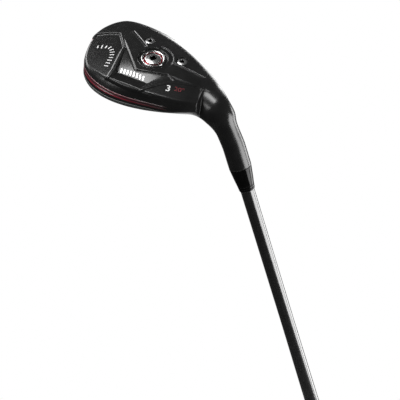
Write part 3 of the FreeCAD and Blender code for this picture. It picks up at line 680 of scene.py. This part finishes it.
def skirt_band(name, band_rows, lines, heel, count=280):
    """Closed band that follows the skirt's wall, with raised pin lines, and sinks in at its ends."""
    base, out = rear_wall_path(count, heel)
    fade = np.clip(np.minimum(np.arange(count), np.arange(count)[::-1]) / BAND_FADE, 0, 1)
    rows = []
    for height, proud in band_rows:
        plan, level = base.copy(), np.full(count, height)
        goal = np.where(proud < 0, proud, proud * fade - BAND_SUNK * (1 - fade))
        for _ in range(8):
            off = outer_field(plan[:, 0], plan[:, 1], level)
            plan -= out * (off - goal)[:, None].clip(-2, 2)
        rows.append(np.column_stack([plan, level]))
    width = len(rows)
    ends = [list(range(width)), list(range((count - 1) * width, count * width))]
    piece = mesh_piece(name, on_club(np.stack(rows, 1).reshape(-1, 3)), strips(count, width) + ends, 40)
    # pin_line marks the raised pin lines, which the finishes colour as painted highlight
    line = [lines.get(row, 0.0) for row in range(width)] * (count - 1)
    float_attribute(piece, "pin_line", line + [0.0] * len(ends), "FACE")
    toeward = own_places(piece, HEAD_FRAME)[:, 0] - heel
    float_attribute(piece, "toe_share", np.clip(toeward / TOE_FADE, 0, 1))
    return piece


# ---- node trees

PLATE_THICKNESS = 0.2
SOCKET_KINDS = {"c": "Color", "f": "Float", "v": "Vector", "i": "Int", "g": "Geometry", "m": "Material"}


def typed(sockets, kind, *names):
    """Sockets of one type, where a node has several that share a name."""
    return [s for s in sockets if s.type == kind and (not names or s.name in names)]


class Wiring:
    """Short way to write a node tree."""

    def __init__(self, tree):
        self.nodes, self.links = tree.nodes, tree.links

    def feed(self, socket, value):
        """Link or set a socket, a colour being a grey level or three channels."""
        if isinstance(value, bpy.types.NodeSocket):
            self.links.new(value, socket)
        elif socket.type == "RGBA":
            socket.default_value = (value, value, value, 1) if isinstance(value, float) else (*value, 1)
        else:
            socket.default_value = value

    def feed_all(self, sockets, values):
        for socket, value in zip(sockets, values):
            self.feed(socket, value)

    def put(self, kind, settings=None, *values, **inputs):
        """New node, its inputs fed in their order or by name."""
        node = self.nodes.new(kind)
        for key, value in (settings or {}).items():
            setattr(node, key, value)
        self.feed_all(node.inputs, values)
        for key, value in inputs.items():
            self.feed(node.inputs[key.replace("_", " ")], value)
        return node

    def made(self, *description, **inputs):
        """First output of a new node."""
        return self.put(*description, **inputs).outputs[0]

    def xyz(self, *values):
        return self.made("ShaderNodeCombineXYZ", None, *values)

    def calc(self, operation, *values, clamp=False):
        return self.made("ShaderNodeMath", {"operation": operation, "use_clamp": clamp}, *values)

    def add(self, *values, **how):
        return self.calc("ADD", *values, **how)

    def less(self, *values):
        return self.calc("SUBTRACT", *values)

    def times(self, *values):
        return self.calc("MULTIPLY", *values)

    def vector_calc(self, operation, first, second):
        return self.put("ShaderNodeVectorMath", {"operation": operation}, first, second).outputs

    def blend(self, share, first, second):
        node = self.put("ShaderNodeMix", {"data_type": "RGBA"}, Factor=share)
        self.feed_all(typed(node.inputs, "RGBA"), (first, second))
        return typed(node.outputs, "RGBA")[0]

    def span(self, value, start, end, low=0.0, high=1.0, smooth=True):
        return self.made("ShaderNodeMapRange", {"interpolation_type": "SMOOTHSTEP" if smooth else "LINEAR"},
                         Value=value, From_Min=start, From_Max=end, To_Min=low, To_Max=high)

    def noise(self, scale, detail, roughness, **inputs):
        settings = {"noise_dimensions": "1D"} if "W" in inputs else {}
        return self.put("ShaderNodeTexNoise", settings, Scale=scale, Detail=detail, Roughness=roughness,
                        **inputs).outputs["Fac"]

    def attribute(self, name):
        return self.put("ShaderNodeAttribute", {"attribute_name": name}).outputs["Fac"]

    def group(self, tree, values):
        return self.put("ShaderNodeGroup", {"node_tree": tree}, *values).outputs

    def solid(self, instances, finish):
        """Mesh of one material from instances."""
        real = self.made("GeometryNodeRealizeInstances", Geometry=instances)
        return self.made("GeometryNodeSetMaterial", Geometry=real, Material=finish)


def named_tree(kind, name, inputs, outputs):
    """Empty node tree with named sockets, its wiring, its inputs and its output node's sockets."""
    tree = bpy.data.node_groups.new(name, kind + "NodeTree")
    for way, sockets in (("INPUT", inputs), ("OUTPUT", outputs)):
        for label, letter in (item.rsplit(" ", 1) for item in sockets.split(", ")):
            tree.interface.new_socket(label, in_out=way, socket_type="NodeSocket" + SOCKET_KINDS[letter])
    w = Wiring(tree)
    return tree, w, w.put("NodeGroupInput").outputs, w.put("NodeGroupOutput").inputs


def plate_row_tree():
    """Geometry nodes that set small plates across a path, their lengths varied, as one mesh."""
    tree, w, given, out = named_tree(
        "Geometry", "plate_row",
        "Path g, Count i, Plate Width f, Plate Length f, Slant f, Variation f, Seed i, Finish m", "Plates g")
    spots = w.made("GeometryNodeResampleCurve", Curve=given["Path"], Count=given["Count"])
    align = w.made("FunctionNodeAlignRotationToVector", {"axis": "X", "pivot_axis": "Z"},
                   Vector=w.made("GeometryNodeInputTangent"))
    turn = w.made("FunctionNodeRotateRotation", {"rotation_space": "LOCAL"}, Rotation=align,
                  Rotate_By=w.xyz(0, 0, given["Slant"]))
    plate = w.made("GeometryNodeMeshCube", Vertices_Y=6,
                   Size=w.xyz(given["Plate Width"], given["Plate Length"], PLATE_THICKNESS))
    vary = w.put("FunctionNodeRandomValue", {"data_type": "FLOAT"}, Seed=given["Seed"])
    w.feed_all(typed(vary.inputs, "VALUE", "Min", "Max"), (w.less(1.0, given["Variation"]), 1.0))
    placed = w.made("GeometryNodeInstanceOnPoints", Points=spots, Instance=plate, Rotation=turn,
                    Scale=w.xyz(1.0, typed(vary.outputs, "VALUE")[0], 1.0))
    w.feed(out["Plates"], w.solid(placed, given["Finish"]))
    return tree


def stud_tree():
    """Geometry nodes that set rows of small studs round a grip whose radius changes along it."""
    tree, w, given, out = named_tree(
        "Geometry", "grip_studs",
        "Base g, Around i, Rows i, Start f, Pitch f, Start Radius f, End Radius f, Stud Size f, "
        "Stud Height f, Finish m", "Studs g")
    around, rows = given["Around"], given["Rows"]
    line = w.made("GeometryNodeMeshLine", {"mode": "OFFSET"}, Count=w.times(around, rows))
    index = w.made("GeometryNodeInputIndex")
    row = w.calc("FLOOR", w.calc("DIVIDE", index, around))
    number = w.less(index, w.times(row, around))
    half = w.times(w.calc("MODULO", row, 2.0), 0.5)
    angle = w.calc("DIVIDE", w.times(w.add(number, half), 2 * math.pi), around)
    change = w.less(given["End Radius"], given["Start Radius"])
    radius = w.add(given["Start Radius"], w.times(w.calc("DIVIDE", row, rows), change))
    spot = w.xyz(w.times(radius, w.calc("COSINE", angle)), w.times(radius, w.calc("SINE", angle)),
                 w.add(given["Start"], w.times(row, given["Pitch"])))
    points = w.made("GeometryNodeSetPosition", Geometry=line, Position=spot)
    stud = w.made("GeometryNodeMeshCone", Vertices=4, Radius_Top=w.times(given["Stud Size"], 0.55),
                  Radius_Bottom=given["Stud Size"], Depth=given["Stud Height"])
    placed = w.made("GeometryNodeInstanceOnPoints", Points=points, Instance=stud,
                    Rotation=w.xyz(0, math.pi / 2, angle))
    w.feed(out["Studs"], w.solid(placed, given["Finish"]))
    return tree


def grown(name, base, tree, **sizes):
    """Plain mesh that a geometry tree makes from a base object, which is then removed."""
    item = new_object(name + "_base", base)
    nodes = item.modifiers.new(name, "NODES")
    nodes.node_group = tree
    for socket in tree.interface.items_tree:
        label = socket.name.lower().replace(" ", "_")
        if socket.in_out == "INPUT" and label in sizes:
            nodes[socket.identifier] = sizes[label]
    item.update_tag()
    bpy.context.view_layer.update()
    return final_mesh(item, name, spent=True)


# ---- plates and numerals on the sole

READING = Vector((-0.76, 0.65)).normalized()  # plan direction in which the numerals read
CAPITAL_SHARE = 0.7  # height of a numeral as a share of its font's size


def sole_height(x, y):
    """Height of the sole's camber over the ground."""
    return SOLE_RADIUS - math.sqrt(SOLE_RADIUS ** 2 - (x - SOLE_LOW[0]) ** 2 - (y - SOLE_LOW[1]) ** 2)


def laid_on_sole(name, mesh, proud=0.05, sunk=0.12):
    """Piece made of a flat mesh in plan millimetres, its lower side raised a little out of the sole."""
    mesh.name = name
    work = bmesh.new()
    work.from_mesh(mesh)
    bmesh.ops.remove_doubles(work, verts=work.verts, dist=1e-4)
    bmesh.ops.triangulate(work, faces=work.faces)
    lowest = min(v.co.z for v in work.verts)
    for vertex in work.verts:
        x, y, z = vertex.co
        height = sole_height(x, y) + relief(np.array([x]), np.array([y]))[0]
        vertex.co = on_club((x, y, height + (-proud if z < lowest + 1e-4 else sunk)))
    bmesh.ops.recalc_face_normals(work, faces=work.faces)
    work.to_mesh(mesh)
    work.free()
    return new_object(name, mesh)


def numeral(name, body, centre, height, bold):
    """Number cut as a thin plate, upright along the sole's heel panel."""
    curve = bpy.data.curves.new(name + "_outline", "FONT")
    curve.body = body
    curve.align_x = curve.align_y = "CENTER"
    curve.size = height / CAPITAL_SHARE
    curve.offset, curve.extrude, curve.resolution_u = bold, PLATE_THICKNESS / 2, 6
    mesh = final_mesh(new_object(name + "_outline", curve), name, spent=True)
    up = Vector((READING.y, -READING.x))
    for vertex in mesh.vertices:
        u, v, w = vertex.co
        plan = Vector(centre) + READING * u + up * v
        vertex.co = (plan.x, plan.y, w)
    return laid_on_sole(name, mesh)


def plan_path(name, points):
    """Smooth open curve through plan points in millimetres."""
    curve = bpy.data.curves.new(name, "CURVE")
    curve.dimensions = "3D"
    line = curve.splines.new("NURBS")
    line.points.add(len(points) - 1)
    for spot, point in zip(line.points, points):
        spot.co = (*point, 0, 1)
    line.order_u = 3
    line.use_endpoint_u = True
    return curve


# ---- finishes

def object_place(w):
    return w.put("ShaderNodeTexCoord").outputs["Object"]


def head_millimetres(w):
    """Place on the head's own axes, in millimetres, from the object coordinates."""
    turn = w.put("ShaderNodeMapping", {"vector_type": "TEXTURE"}, Vector=object_place(w))
    turn.inputs["Rotation"].default_value = (0, math.atan2(-math.cos(LIE), -math.sin(LIE)), 0)
    turn.inputs["Scale"].default_value = (MM, MM, MM)
    return turn.outputs[0]


def around_shaft(w):
    """Angle round the shaft and millimetres along it."""
    place = w.put("ShaderNodeSeparateXYZ", Vector=object_place(w)).outputs
    return w.calc("ARCTAN2", place["Y"], place["X"]), w.times(place["Z"], 1 / MM)


def worked_surface():
    """Grain, uneven tone and bare worn edges of a cast, painted or brushed surface."""
    tree, w, given, out = named_tree(
        "Shader", "worked_surface",
        "Color c, Second Color c, Bare Color c, Bare Amount f, Roughness f, Roughness Spread f, "
        "Bare Roughness f, Grain f, Stretch v", "Color c, Roughness f, Height f")
    place = head_millimetres(w)
    pulled = w.vector_calc("MULTIPLY", place, given["Stretch"])[0]
    fine = w.noise(given["Grain"], 3.0, 0.6, Vector=pulled)
    broad = w.noise(0.09, 4.0, 0.55, Vector=place)
    cloud = w.span(broad, 0.35, 0.68)
    tone = w.blend(w.times(cloud, 0.8), given["Color"], given["Second Color"])
    chipped = w.add(w.attribute("edge"), w.times(w.less(fine, 0.5), 0.9))
    bare = w.times(w.span(chipped, 0.3, 0.85), given["Bare Amount"])
    spread = w.times(w.less(w.add(fine, broad), 1.0), given["Roughness Spread"])
    rough = w.add(given["Roughness"], spread)
    gap = w.less(given["Bare Roughness"], rough)
    w.feed_all(out, (w.blend(bare, tone, given["Bare Color"]),
                     w.add(rough, w.times(gap, bare), clamp=True), fine))
    return tree


def lathe_marks():
    """Fine rings left by turning, with a little uneven tone."""
    tree, w, given, out = named_tree(
        "Shader", "lathe_marks", "Along f, Marks f, Color c, Second Color c, Roughness f, Roughness Spread f",
        "Color c, Roughness f, Height f")
    rings = w.noise(1.0, 3.0, 0.65, W=w.times(given["Along"], given["Marks"]))
    smudge = w.noise(0.45, 4.0, 0.6, Vector=head_millimetres(w))
    both = w.less(w.add(rings, smudge), 1.0)
    spread = w.times(both, given["Roughness Spread"])
    w.feed_all(out, (w.blend(w.span(smudge, 0.4, 0.7), given["Color"], given["Second Color"]),
                     w.add(given["Roughness"], spread, clamp=True), rings))
    return tree


WORKED, LATHE = worked_surface(), lathe_marks()
EVEN = (1, 1, 1)  # stretch of a grain that runs no way
TAPE_WIDTH = 19.0


def material(name, metallic=0.0, coat=0.0, coat_roughness=0.03, specular=0.5, sheen=0.0):
    """Material with its constants on its shader, and the wiring to finish it."""
    item = bpy.data.materials.new(name)
    item.use_nodes = True
    shader = item.node_tree.nodes["Principled BSDF"]
    for label, value in (("Metallic", metallic), ("Coat Weight", coat), ("Coat Roughness", coat_roughness),
                         ("Specular IOR Level", specular), ("Sheen Weight", sheen)):
        shader.inputs[label].default_value = value
    return item, Wiring(item.node_tree), shader.inputs


def raised(w, shader, height, distance):
    w.feed(shader["Normal"], w.made("ShaderNodeBump", Strength=1.0, Distance=distance * MM, Height=height))


def clad(w, shader, tree, depth, *values):
    """Tone, roughness and fine relief of one of the surface effects, fed to a shader."""
    skin = w.group(tree, values)
    w.feed(shader["Base Color"], skin["Color"])
    w.feed(shader["Roughness"], skin["Roughness"])
    if depth:
        raised(w, shader, skin["Height"], depth)
    return skin


def worked(name, depth, *values, **shader_values):
    """Material of the worked surface, with its relief in millimetres.

    The values are its color, second color, bare color, bare amount, roughness, roughness spread, bare
    roughness and grain.
    """
    item, w, shader = material(name, **shader_values)
    return item, w, shader, clad(w, shader, WORKED, depth, *values, EVEN)


def lathed(name, depth, marks, *values, pit_shade=None, turned_on_shaft=False, **shader_values):
    """Material of the lathe marks, with painted shade colouring the key recess dark where a pit_shade colour
    is given.

    The values are its color, second color, roughness and roughness spread.
    """
    item, w, shader = material(name, **shader_values)
    along = around_shaft(w)[1] if turned_on_shaft else w.attribute("lathe")
    skin = clad(w, shader, LATHE, depth, along, marks, *values)
    # painted shade: the key recess takes the dark pit_shade colour
    if pit_shade is not None:
        w.feed(shader["Base Color"], w.blend(w.attribute("key_pit"), skin["Color"], pit_shade))
    return item


BLACK_CAST = (0.007, 0.011, 0.12, 0.35, 0.25, 0.08, 0.25, 2.6)
BRUSHED = (0.30, 0.38, 0.6, 0.4, 0.36, 0.25, 0.25, 4.0, (0.05, 1, 1))


def brushed_face():
    """Black finish, with bare brushed steel only where the piece's own mask marks the striking face."""
    item, w, shader, skin = worked("brushed_face_steel", 0, *BLACK_CAST)
    strike = w.attribute("strike")
    brush = w.group(WORKED, BRUSHED)
    w.feed(shader["Base Color"], w.blend(strike, skin["Color"], brush["Color"]))
    gap = w.less(brush["Roughness"], skin["Roughness"])
    w.feed(shader["Roughness"], w.add(skin["Roughness"], w.times(gap, strike)))
    w.feed(shader["Metallic"], strike)
    rise = w.add(w.times(brush["Height"], strike), w.times(skin["Height"], w.less(1.0, strike)))
    raised(w, shader, rise, 0.012)
    return item


def crown_paint():
    """Deep black lacquer with fine metal flake under its coat."""
    item, w, shader, skin = worked("crown_lacquer", 0.004, 0.006, 0.009, 0.1, 0.1, 0.3, 0.08, 0.3, 0.6,
                                   coat=1.0, coat_roughness=0.04)
    cells = w.put("ShaderNodeTexVoronoi", Vector=head_millimetres(w), Scale=5.0)
    speck = w.made("ShaderNodeSeparateColor", Color=cells.outputs["Color"])
    lit = w.times(w.span(speck, 0.9, 0.97), w.span(cells.outputs["Distance"], 0.35, 0.15))
    w.feed(shader["Base Color"], w.blend(lit, skin["Color"], (0.12, 0.11784, 0.1272)))
    return item


def stripe_enamel():
    """Dark red enamel whose raised pin lines are coloured deeper red and pale pink as painted highlight, the
    whole fading into black toward the heel.
    """
    item, w, shader, skin = worked("stripe_red_enamel", 0.01, (0.034, 0.002, 0.005), (0.052, 0.003, 0.007),
                                   (0.2, 0.02, 0.02), 0.2, 0.32, 0.1, 0.3, 2.0, coat=0.6, coat_roughness=0.12)
    # painted highlight: the raised pin lines are coloured deeper red and pale pink
    line = w.attribute("pin_line")
    highlit = w.blend(w.span(line, 0.0, 0.5, smooth=False), skin["Color"], (0.20, 0.006, 0.02))
    highlit = w.blend(w.span(line, 0.5, 1.0, smooth=False), highlit, (0.42, 0.20, 0.22))
    w.feed(shader["Base Color"], w.blend(w.attribute("toe_share"), 0.012, highlit))
    return item


def rim_finish_with_painted_highlight():
    """Black skirt whose fine raised rim lines are coloured grey and made a little metallic, as painted
    highlight.
    """
    item, w, shader, skin = worked("rim_black_and_bare", 0.008, 0.007, 0.011, 0.3, 0.3, 0.3, 0.08, 0.3, 2.6)
    # painted highlight: the raised rim lines are coloured grey
    line = w.attribute("pin_line")
    w.feed(shader["Base Color"], w.blend(line, skin["Color"], (0.22, 0.25, 0.235)))
    w.feed(shader["Metallic"], w.times(line, 0.4))
    return item


def shaft_lacquer():
    """Black graphite under clear lacquer, with the faint slant weave of its wrapped fibre."""
    item, w, shader = material("shaft_graphite_lacquer", coat=1.0, coat_roughness=0.05)
    angle, height = around_shaft(w)
    turns, rise = w.times(angle, 9.0), w.times(height, 1.3)
    left, right = (w.calc("SINE", w.calc(way, rise, turns)) for way in ("ADD", "SUBTRACT"))
    weave = w.span(w.times(left, right), -0.6, 0.6)
    skin = clad(w, shader, LATHE, 0.004, height, 2.2, 0.004, 0.006, 0.3, 0.14)
    w.feed(shader["Base Color"], w.blend(w.times(weave, 0.35), skin["Color"], 0.016))
    return item


def grip_rubber():
    """Matt moulded rubber with fine pebbling and faint flecks of dust."""
    item, w, shader, skin = worked("grip_rubber_moulded", 0, 0.014, 0.022, 0.04, 0.3, 0.72, 0.2, 0.8, 1.8,
                                   specular=0.35, sheen=0.1)
    pebble = w.put("ShaderNodeTexVoronoi", {"feature": "SMOOTH_F1"}, Vector=head_millimetres(w), Scale=0.9,
                   Smoothness=0.5).outputs["Distance"]
    raised(w, shader, w.add(w.times(pebble, -0.9), w.times(skin["Height"], 0.4)), 0.12)
    return item


def tape_paper():
    """Cream paper tape wound in a slow spiral, its overlap slightly darker."""
    item, w, shader, skin = worked("grip_tape_paper", 0, (0.62, 0.54, 0.40), (0.54, 0.46, 0.33),
                                   (0.7, 0.62, 0.5), 0.0, 0.8, 0.15, 0.8, 1.2, specular=0.2)
    angle, height = around_shaft(w)
    turns = w.less(w.calc("DIVIDE", height, TAPE_WIDTH), w.calc("DIVIDE", angle, 2 * math.pi))
    lap = w.span(w.calc("FRACT", turns), 0.9, 0.93)
    w.feed(shader["Base Color"], w.blend(w.times(lap, 0.45), skin["Color"], (0.36, 0.29, 0.19)))
    raised(w, shader, w.add(lap, w.times(skin["Height"], 0.3)), 0.08)
    return item


SATIN_BLACK = worked("satin_black_cast", 0.012, *BLACK_CAST)[0]
FACE_STEEL = brushed_face()
CROWN_PAINT = crown_paint()
STRIPE_ENAMEL = stripe_enamel()
RIM_BLACK_WITH_HIGHLIGHT = rim_finish_with_painted_highlight()
BRIGHT_STEEL = lathed("bezel_bright_steel", 0.006, 7.0, 0.72, 0.62, 0.16, 0.12, metallic=1.0)
# the screws' key recesses are coloured near black as painted shade
SATIN_SILVER = lathed("screw_satin_silver", 0.01, 5.0, 0.62, 0.52, 0.26, 0.16, metallic=1.0, pit_shade=0.04)
RED_ANODISED = lathed("washer_red_anodised", 0.008, 4.0, (0.42, 0.012, 0.03), (0.34, 0.008, 0.02), 0.3, 0.12,
                      metallic=1.0)
FERRULE_GLOSS = lathed("ferrule_gloss_black", 0.004, 2.5, 0.002, 0.003, 0.1, 0.08, specular=0.15)
BRASS = lathed("tip_weight_brass", 0.015, 3.0, (0.60, 0.40, 0.14), (0.50, 0.32, 0.10), 0.28, 0.15,
               turned_on_shaft=True, metallic=1.0)
SHAFT_LACQUER = shaft_lacquer()
GRIP_RUBBER = grip_rubber()
TAPE_PAPER = tape_paper()
WHITE_FILL = worked("white_paint_fill", 0.01, 0.78, 0.7, 0.6, 0.0, 0.45, 0.1, 0.5, 2.5)[0]
SILVER_FILL = worked("silver_plate_fill", 0.01, 0.5, 0.42, 0.6, 0.0, 0.3, 0.1, 0.5, 2.5, metallic=1.0)[0]
RED_FILL = worked("red_paint_fill", 0.01, (0.13, 0.004, 0.010), (0.10, 0.004, 0.008), 0.2, 0.0, 0.45, 0.1,
                  0.5, 2.5)[0]
FLOOR_PAINT = worked("pale_floor", 0.05, 0.78, 0.74, 0.8, 0.0, 0.6, 0.1, 0.6, 0.05, specular=0.2)[0]


# ---- pieces

CELL = 0.36
WORN, WORN_FADE = 0.45, 0.3  # reach of the wear at an edge, and the share of it that fades


def finished(piece, finish):
    """Piece in one material only."""
    piece.data.materials.clear()
    piece.data.materials.append(finish)


def dress(piece, finish, slot, *nodes, body="club"):
    """Finish of a piece, the body it rides on and the nodes that it replaces; the slot is not used."""
    finished(piece, finish)
    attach(piece, body)
    if nodes:
        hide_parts(*nodes)


def head_piece(name, solid, low, high, cell, triangles, finish, slot, node):
    """Piece of the head, with its points on the head's axes.

    The attribute edge is high along the outer edges, where the finish wears first.
    """
    piece = field_mesh(name, solid, low, high, cell, triangles)
    own = own_places(piece, HEAD_FRAME)
    below = own - unit(gradient(outer_field, own)) * WORN
    float_attribute(piece, "edge", np.clip((outer_field(*below.T) + WORN) / (WORN_FADE * WORN), 0, 1))
    dress(piece, finish, slot, node)
    return piece, own


head_piece("head_shell", body_solid, (-40, -62, -3), (101, 16, 58), CELL, 190000, SATIN_BLACK, "head_cast",
           "head_body")
face_piece, own = head_piece("striking_face", cup_solid, (5, -20, -3), (101, 16, 46), CELL * 0.8, 120000,
                             FACE_STEEL, "face_steel", "face_cup")
# brushed on the face's own surface, clear of the sole's edge and the crown's
float_attribute(face_piece, "strike", ramp(-np.abs(face_field(*own.T)), -0.75, -0.45)
                * ramp(own[:, 2], 2.6, 3.4) * ramp(-crown_field(*own.T), 0.5, 1.2))
head_piece("crown_shell", crown_solid, (5, -62, 8), (101, 16, 46), CELL, 70000, CROWN_PAINT, "crown_paint",
           "crown")
dress(skirt_band("stripe_band", STRIPE_ROWS, STRIPE_PIN_HIGHLIGHTS, 9), STRIPE_ENAMEL, "stripe_red", "skirt_stripe")
dress(skirt_band("crown_rim", RIM_ROWS, RIM_PIN_HIGHLIGHTS, 3), RIM_BLACK_WITH_HIGHLIGHT, "head_cast")

# weight in the port
BEZEL = [(6.35, 0.5), (6.9, 0.05), (7.35, 0), (7.9, 0.55), (7.9, 1.7), (6.35, 1.7)]
dress(turned("bezel_ring", rounded(BEZEL, 0.28), port_frame(*PORT, 0.55)), BRIGHT_STEEL, "bezel_steel",
      "port_bezel")
WASHER = [(3.5, 0), (6.15, 0), (6.15, 0.9), (3.5, 0.9)]
dress(turned("red_washer", rounded(WASHER, 0.15), port_frame(*PORT, 1.75)), RED_ANODISED, "ring_red",
      "weight_ring", body="weight_carrier")
weight = star_screw("weight_head", port_frame(*PORT, 0.2), head_radius=5.3, head_height=2.4, dome=0.8,
                    key_radius=2.3, key_depth=2.0, shank_radius=3.4, shank_length=9.9)
dress(weight, SATIN_SILVER, "screw_steel", "weight_screw", body="weight")
for count, (toe, front) in enumerate(SCREWS):
    item = star_screw(f"sole_screw_{count}", port_frame(toe, front, sole_height(toe, front) + 0.15),
                      head_radius=3.45, head_height=2.0, dome=0.5, key_radius=1.45, key_depth=1.5,
                      shank_radius=1.9, shank_length=4.5)
    dress(item, SATIN_SILVER, "screw_steel", *(["sole_screws"] if count == 0 else []))

# plain numbers, and a plain row and arc of plates where words would stand
dress(numeral("number_plate", "3", (19.0, -23.1), 4.8, 0.04), WHITE_FILL, "head_cast")
dress(numeral("loft_plate", "20°", (14.2, -18.0), 3.3, 0.03), RED_FILL, "head_cast")
ROW_TREE = plate_row_tree()
NAME_PATH = [(53, -36.4), (45, -33.0), (36, -29.6)]
TOE_PATH = [(81, -32.5), (76.5, -28.2), (71.5, -27.6), (65, -32.5), (60.5, -40.5)]
plates = grown("name_plates", plan_path("name_path", NAME_PATH), ROW_TREE, count=9, plate_width=0.8,
               plate_length=3.0, slant=-0.35, variation=0.0, seed=3, finish=SILVER_FILL)
dress(laid_on_sole("name_row", plates), SILVER_FILL, "head_cast")
plates = grown("toe_plates", plan_path("toe_path", TOE_PATH), ROW_TREE, count=11, plate_width=0.75,
               plate_length=3.4, slant=0.0, variation=0.35, seed=5, finish=WHITE_FILL)
dress(laid_on_sole("toe_arc", plates), WHITE_FILL, "head_cast")

# ferrule, shaft and grip
top = CLUB_LENGTH - HOSEL_END
foot = top - 16.5
ferrule = turned("ferrule_collar", rounded([
    (4.75, foot), (5.05, foot), (5.2, foot + 0.3), (5.4, foot + 1.3), (5.2, foot + 1.55), (5.42, foot + 1.8),
    (5.6, foot + 3.1), (5.38, foot + 3.35), (5.62, foot + 3.6), (6.3, foot + 8.0), (7.3, top - 0.6),
    (7.3, top), (4.75, top)], 0.22), SHAFT_FRAME, sharp=50)
dress(ferrule, FERRULE_GLOSS, "ferrule_black", "ferrule")
tip = top + TIP_LENGTH
butt, taper_start, taper_end = 4.0, 280.0, tip - 150
shaft = turned("shaft_tube", [(7.6, butt), (7.6, taper_start), (TIP_RADIUS, taper_end), (TIP_RADIUS, tip),
                              (3.2, tip), (3.2, taper_end), (6.7, taper_start), (6.7, butt)], SHAFT_FRAME)
dress(shaft, SHAFT_LACQUER, "shaft_lacquer", "shaft")
for node, finish in (("grip", GRIP_RUBBER), ("grip_cap", GRIP_RUBBER), ("grip_tape", TAPE_PAPER),
                     ("tip_weight", BRASS)):
    finished(frame["nodes"][node], finish)
studs = grown("grip_pattern", bpy.data.meshes.new("stud_seed"), stud_tree(), around=18, rows=62,
              start=0.078, pitch=0.0028, start_radius=0.01163, end_radius=0.00914, stud_size=0.0012,
              stud_height=0.0005, finish=GRIP_RUBBER)
dress(new_object("grip_pattern", studs), GRIP_RUBBER, "grip_rubber")


# ---- floor, light and camera

def floor_disc(radius=0.9, low=-0.006, high=-0.0002, edge=0.002, segments=128):
    """Pale round floor under the butt, its rim cut back."""
    angles = 2 * math.pi * np.arange(segments) / segments
    rows = [(radius - 2 * edge, low), (radius, low + edge), (radius, high - edge), (radius - 2 * edge, high)]
    points = [(r * math.cos(t), r * math.sin(t), h) for r, h in rows for t in angles]
    ends = [list(range(segments))[::-1], list(range(3 * segments, 4 * segments))]
    item = mesh_piece("floor", points, strips(len(rows), segments) + ends)
    item.data.materials.append(FLOOR_PAINT)


CAMERA_PLACE = on_club((-298.31, -287.94, -377.0))
CAMERA_RIGHT = Vector((0.57001282, 0.76898575, -0.28938954))
CAMERA_UP = Vector((-0.17399106, 0.45719584, 0.87218064))
CAMERA_BACK = CAMERA_RIGHT.cross(CAMERA_UP)


def set_at(item, place, *axes):
    """Object moved to a place with its axes along three directions."""
    item.matrix_world = Matrix.Translation(Vector(place)) @ Matrix(axes).transposed().to_4x4()


def camera(lens=80.46, sensor=36):
    data = bpy.data.cameras.new("camera")
    data.lens, data.sensor_width = lens, sensor
    item = new_object("camera", data)
    set_at(item, CAMERA_PLACE, CAMERA_RIGHT, CAMERA_UP, CAMERA_BACK)
    bpy.context.scene.camera = item


def from_head(toe, front, height):
    """Direction in the row frame of one given on the head's axes."""
    return Vector(TO_ROW @ np.array([toe, front, height], float)).normalized()


def direction(right, up, back):
    """Direction in the row frame of one given on the camera's axes."""
    return (CAMERA_RIGHT * right + CAMERA_UP * up + CAMERA_BACK * back).normalized()


def lamp(name, toward, size, radiance, distance=0.9, target=(40, -15, 5), width_along=None):
    """Soft lamp of an even radiance, seen from the head in a direction, its width along another."""
    data = bpy.data.lights.new(name, "AREA")
    data.shape = "RECTANGLE"
    data.size, data.size_y = size
    data.energy = radiance * math.pi * size[0] * size[1]
    width_along = width_along or CAMERA_UP.cross(toward)
    side = (width_along - toward * width_along.dot(toward)).normalized()
    place = Vector(on_club(target)) + toward * distance
    set_at(new_object(name, data), place, side, toward.cross(side), toward)


ROOM_LEVEL = 0.06
FILL_LEVEL = 0.35
WHITE_END = (0.91, 0.99)  # cosines between which the room's end behind the club turns white


def world():
    """White surround where it is seen, and a dim room with a white end behind the club in reflections."""
    surround = bpy.data.worlds.new("studio")
    surround.use_nodes = True
    w = Wiring(surround.node_tree)
    background = w.nodes["Background"].inputs
    w.feed(background["Color"], 1.0)
    path = w.put("ShaderNodeLightPath").outputs
    ahead = w.vector_calc("DOT_PRODUCT", w.put("ShaderNodeTexCoord").outputs["Generated"], -CAMERA_BACK)
    end = w.span(ahead["Value"], *WHITE_END, ROOM_LEVEL, 1.0)
    mirrored = w.calc("MAXIMUM", path["Is Glossy Ray"], path["Is Transmission Ray"])
    seen = w.calc("MAXIMUM", path["Is Camera Ray"], w.times(mirrored, end))
    other = w.less(1.0, w.calc("MAXIMUM", path["Is Camera Ray"], mirrored))
    w.feed(background["Strength"], w.add(seen, w.times(other, FILL_LEVEL)))
    bpy.context.scene.world = surround


floor_disc()
camera()
world()
HOSEL = (-20, 0, 32)
lamp("main_soft", from_head(0.46, -0.06, -0.88), (0.58, 0.3), 12, width_along=from_head(1, 0, 0.3))
lamp("toe_soft", from_head(0.93, -0.14, -0.33), (0.42, 0.2), 6, width_along=from_head(0, 1, 0))
lamp("edge_soft", from_head(0.32, -0.68, -0.66), (0.34, 0.14), 6, width_along=from_head(1, 0, 0))
lamp("toe_rim", direction(-0.52, 0.74, -0.43), (0.3, 0.3), 6, target=(90, -25, 7))
lamp("right_wall", direction(0.95, -0.24, 0.20), (0.62, 0.6), 8, target=HOSEL)
lamp("right_back", direction(0.87, 0.03, -0.45), (0.38, 0.9), 6, target=HOSEL)
lamp("top_back", direction(0.33, 0.64, -0.69), (0.42, 0.42), 7, target=(40, 8, 3))
bpy.context.scene.view_settings.view_transform = "Standard"
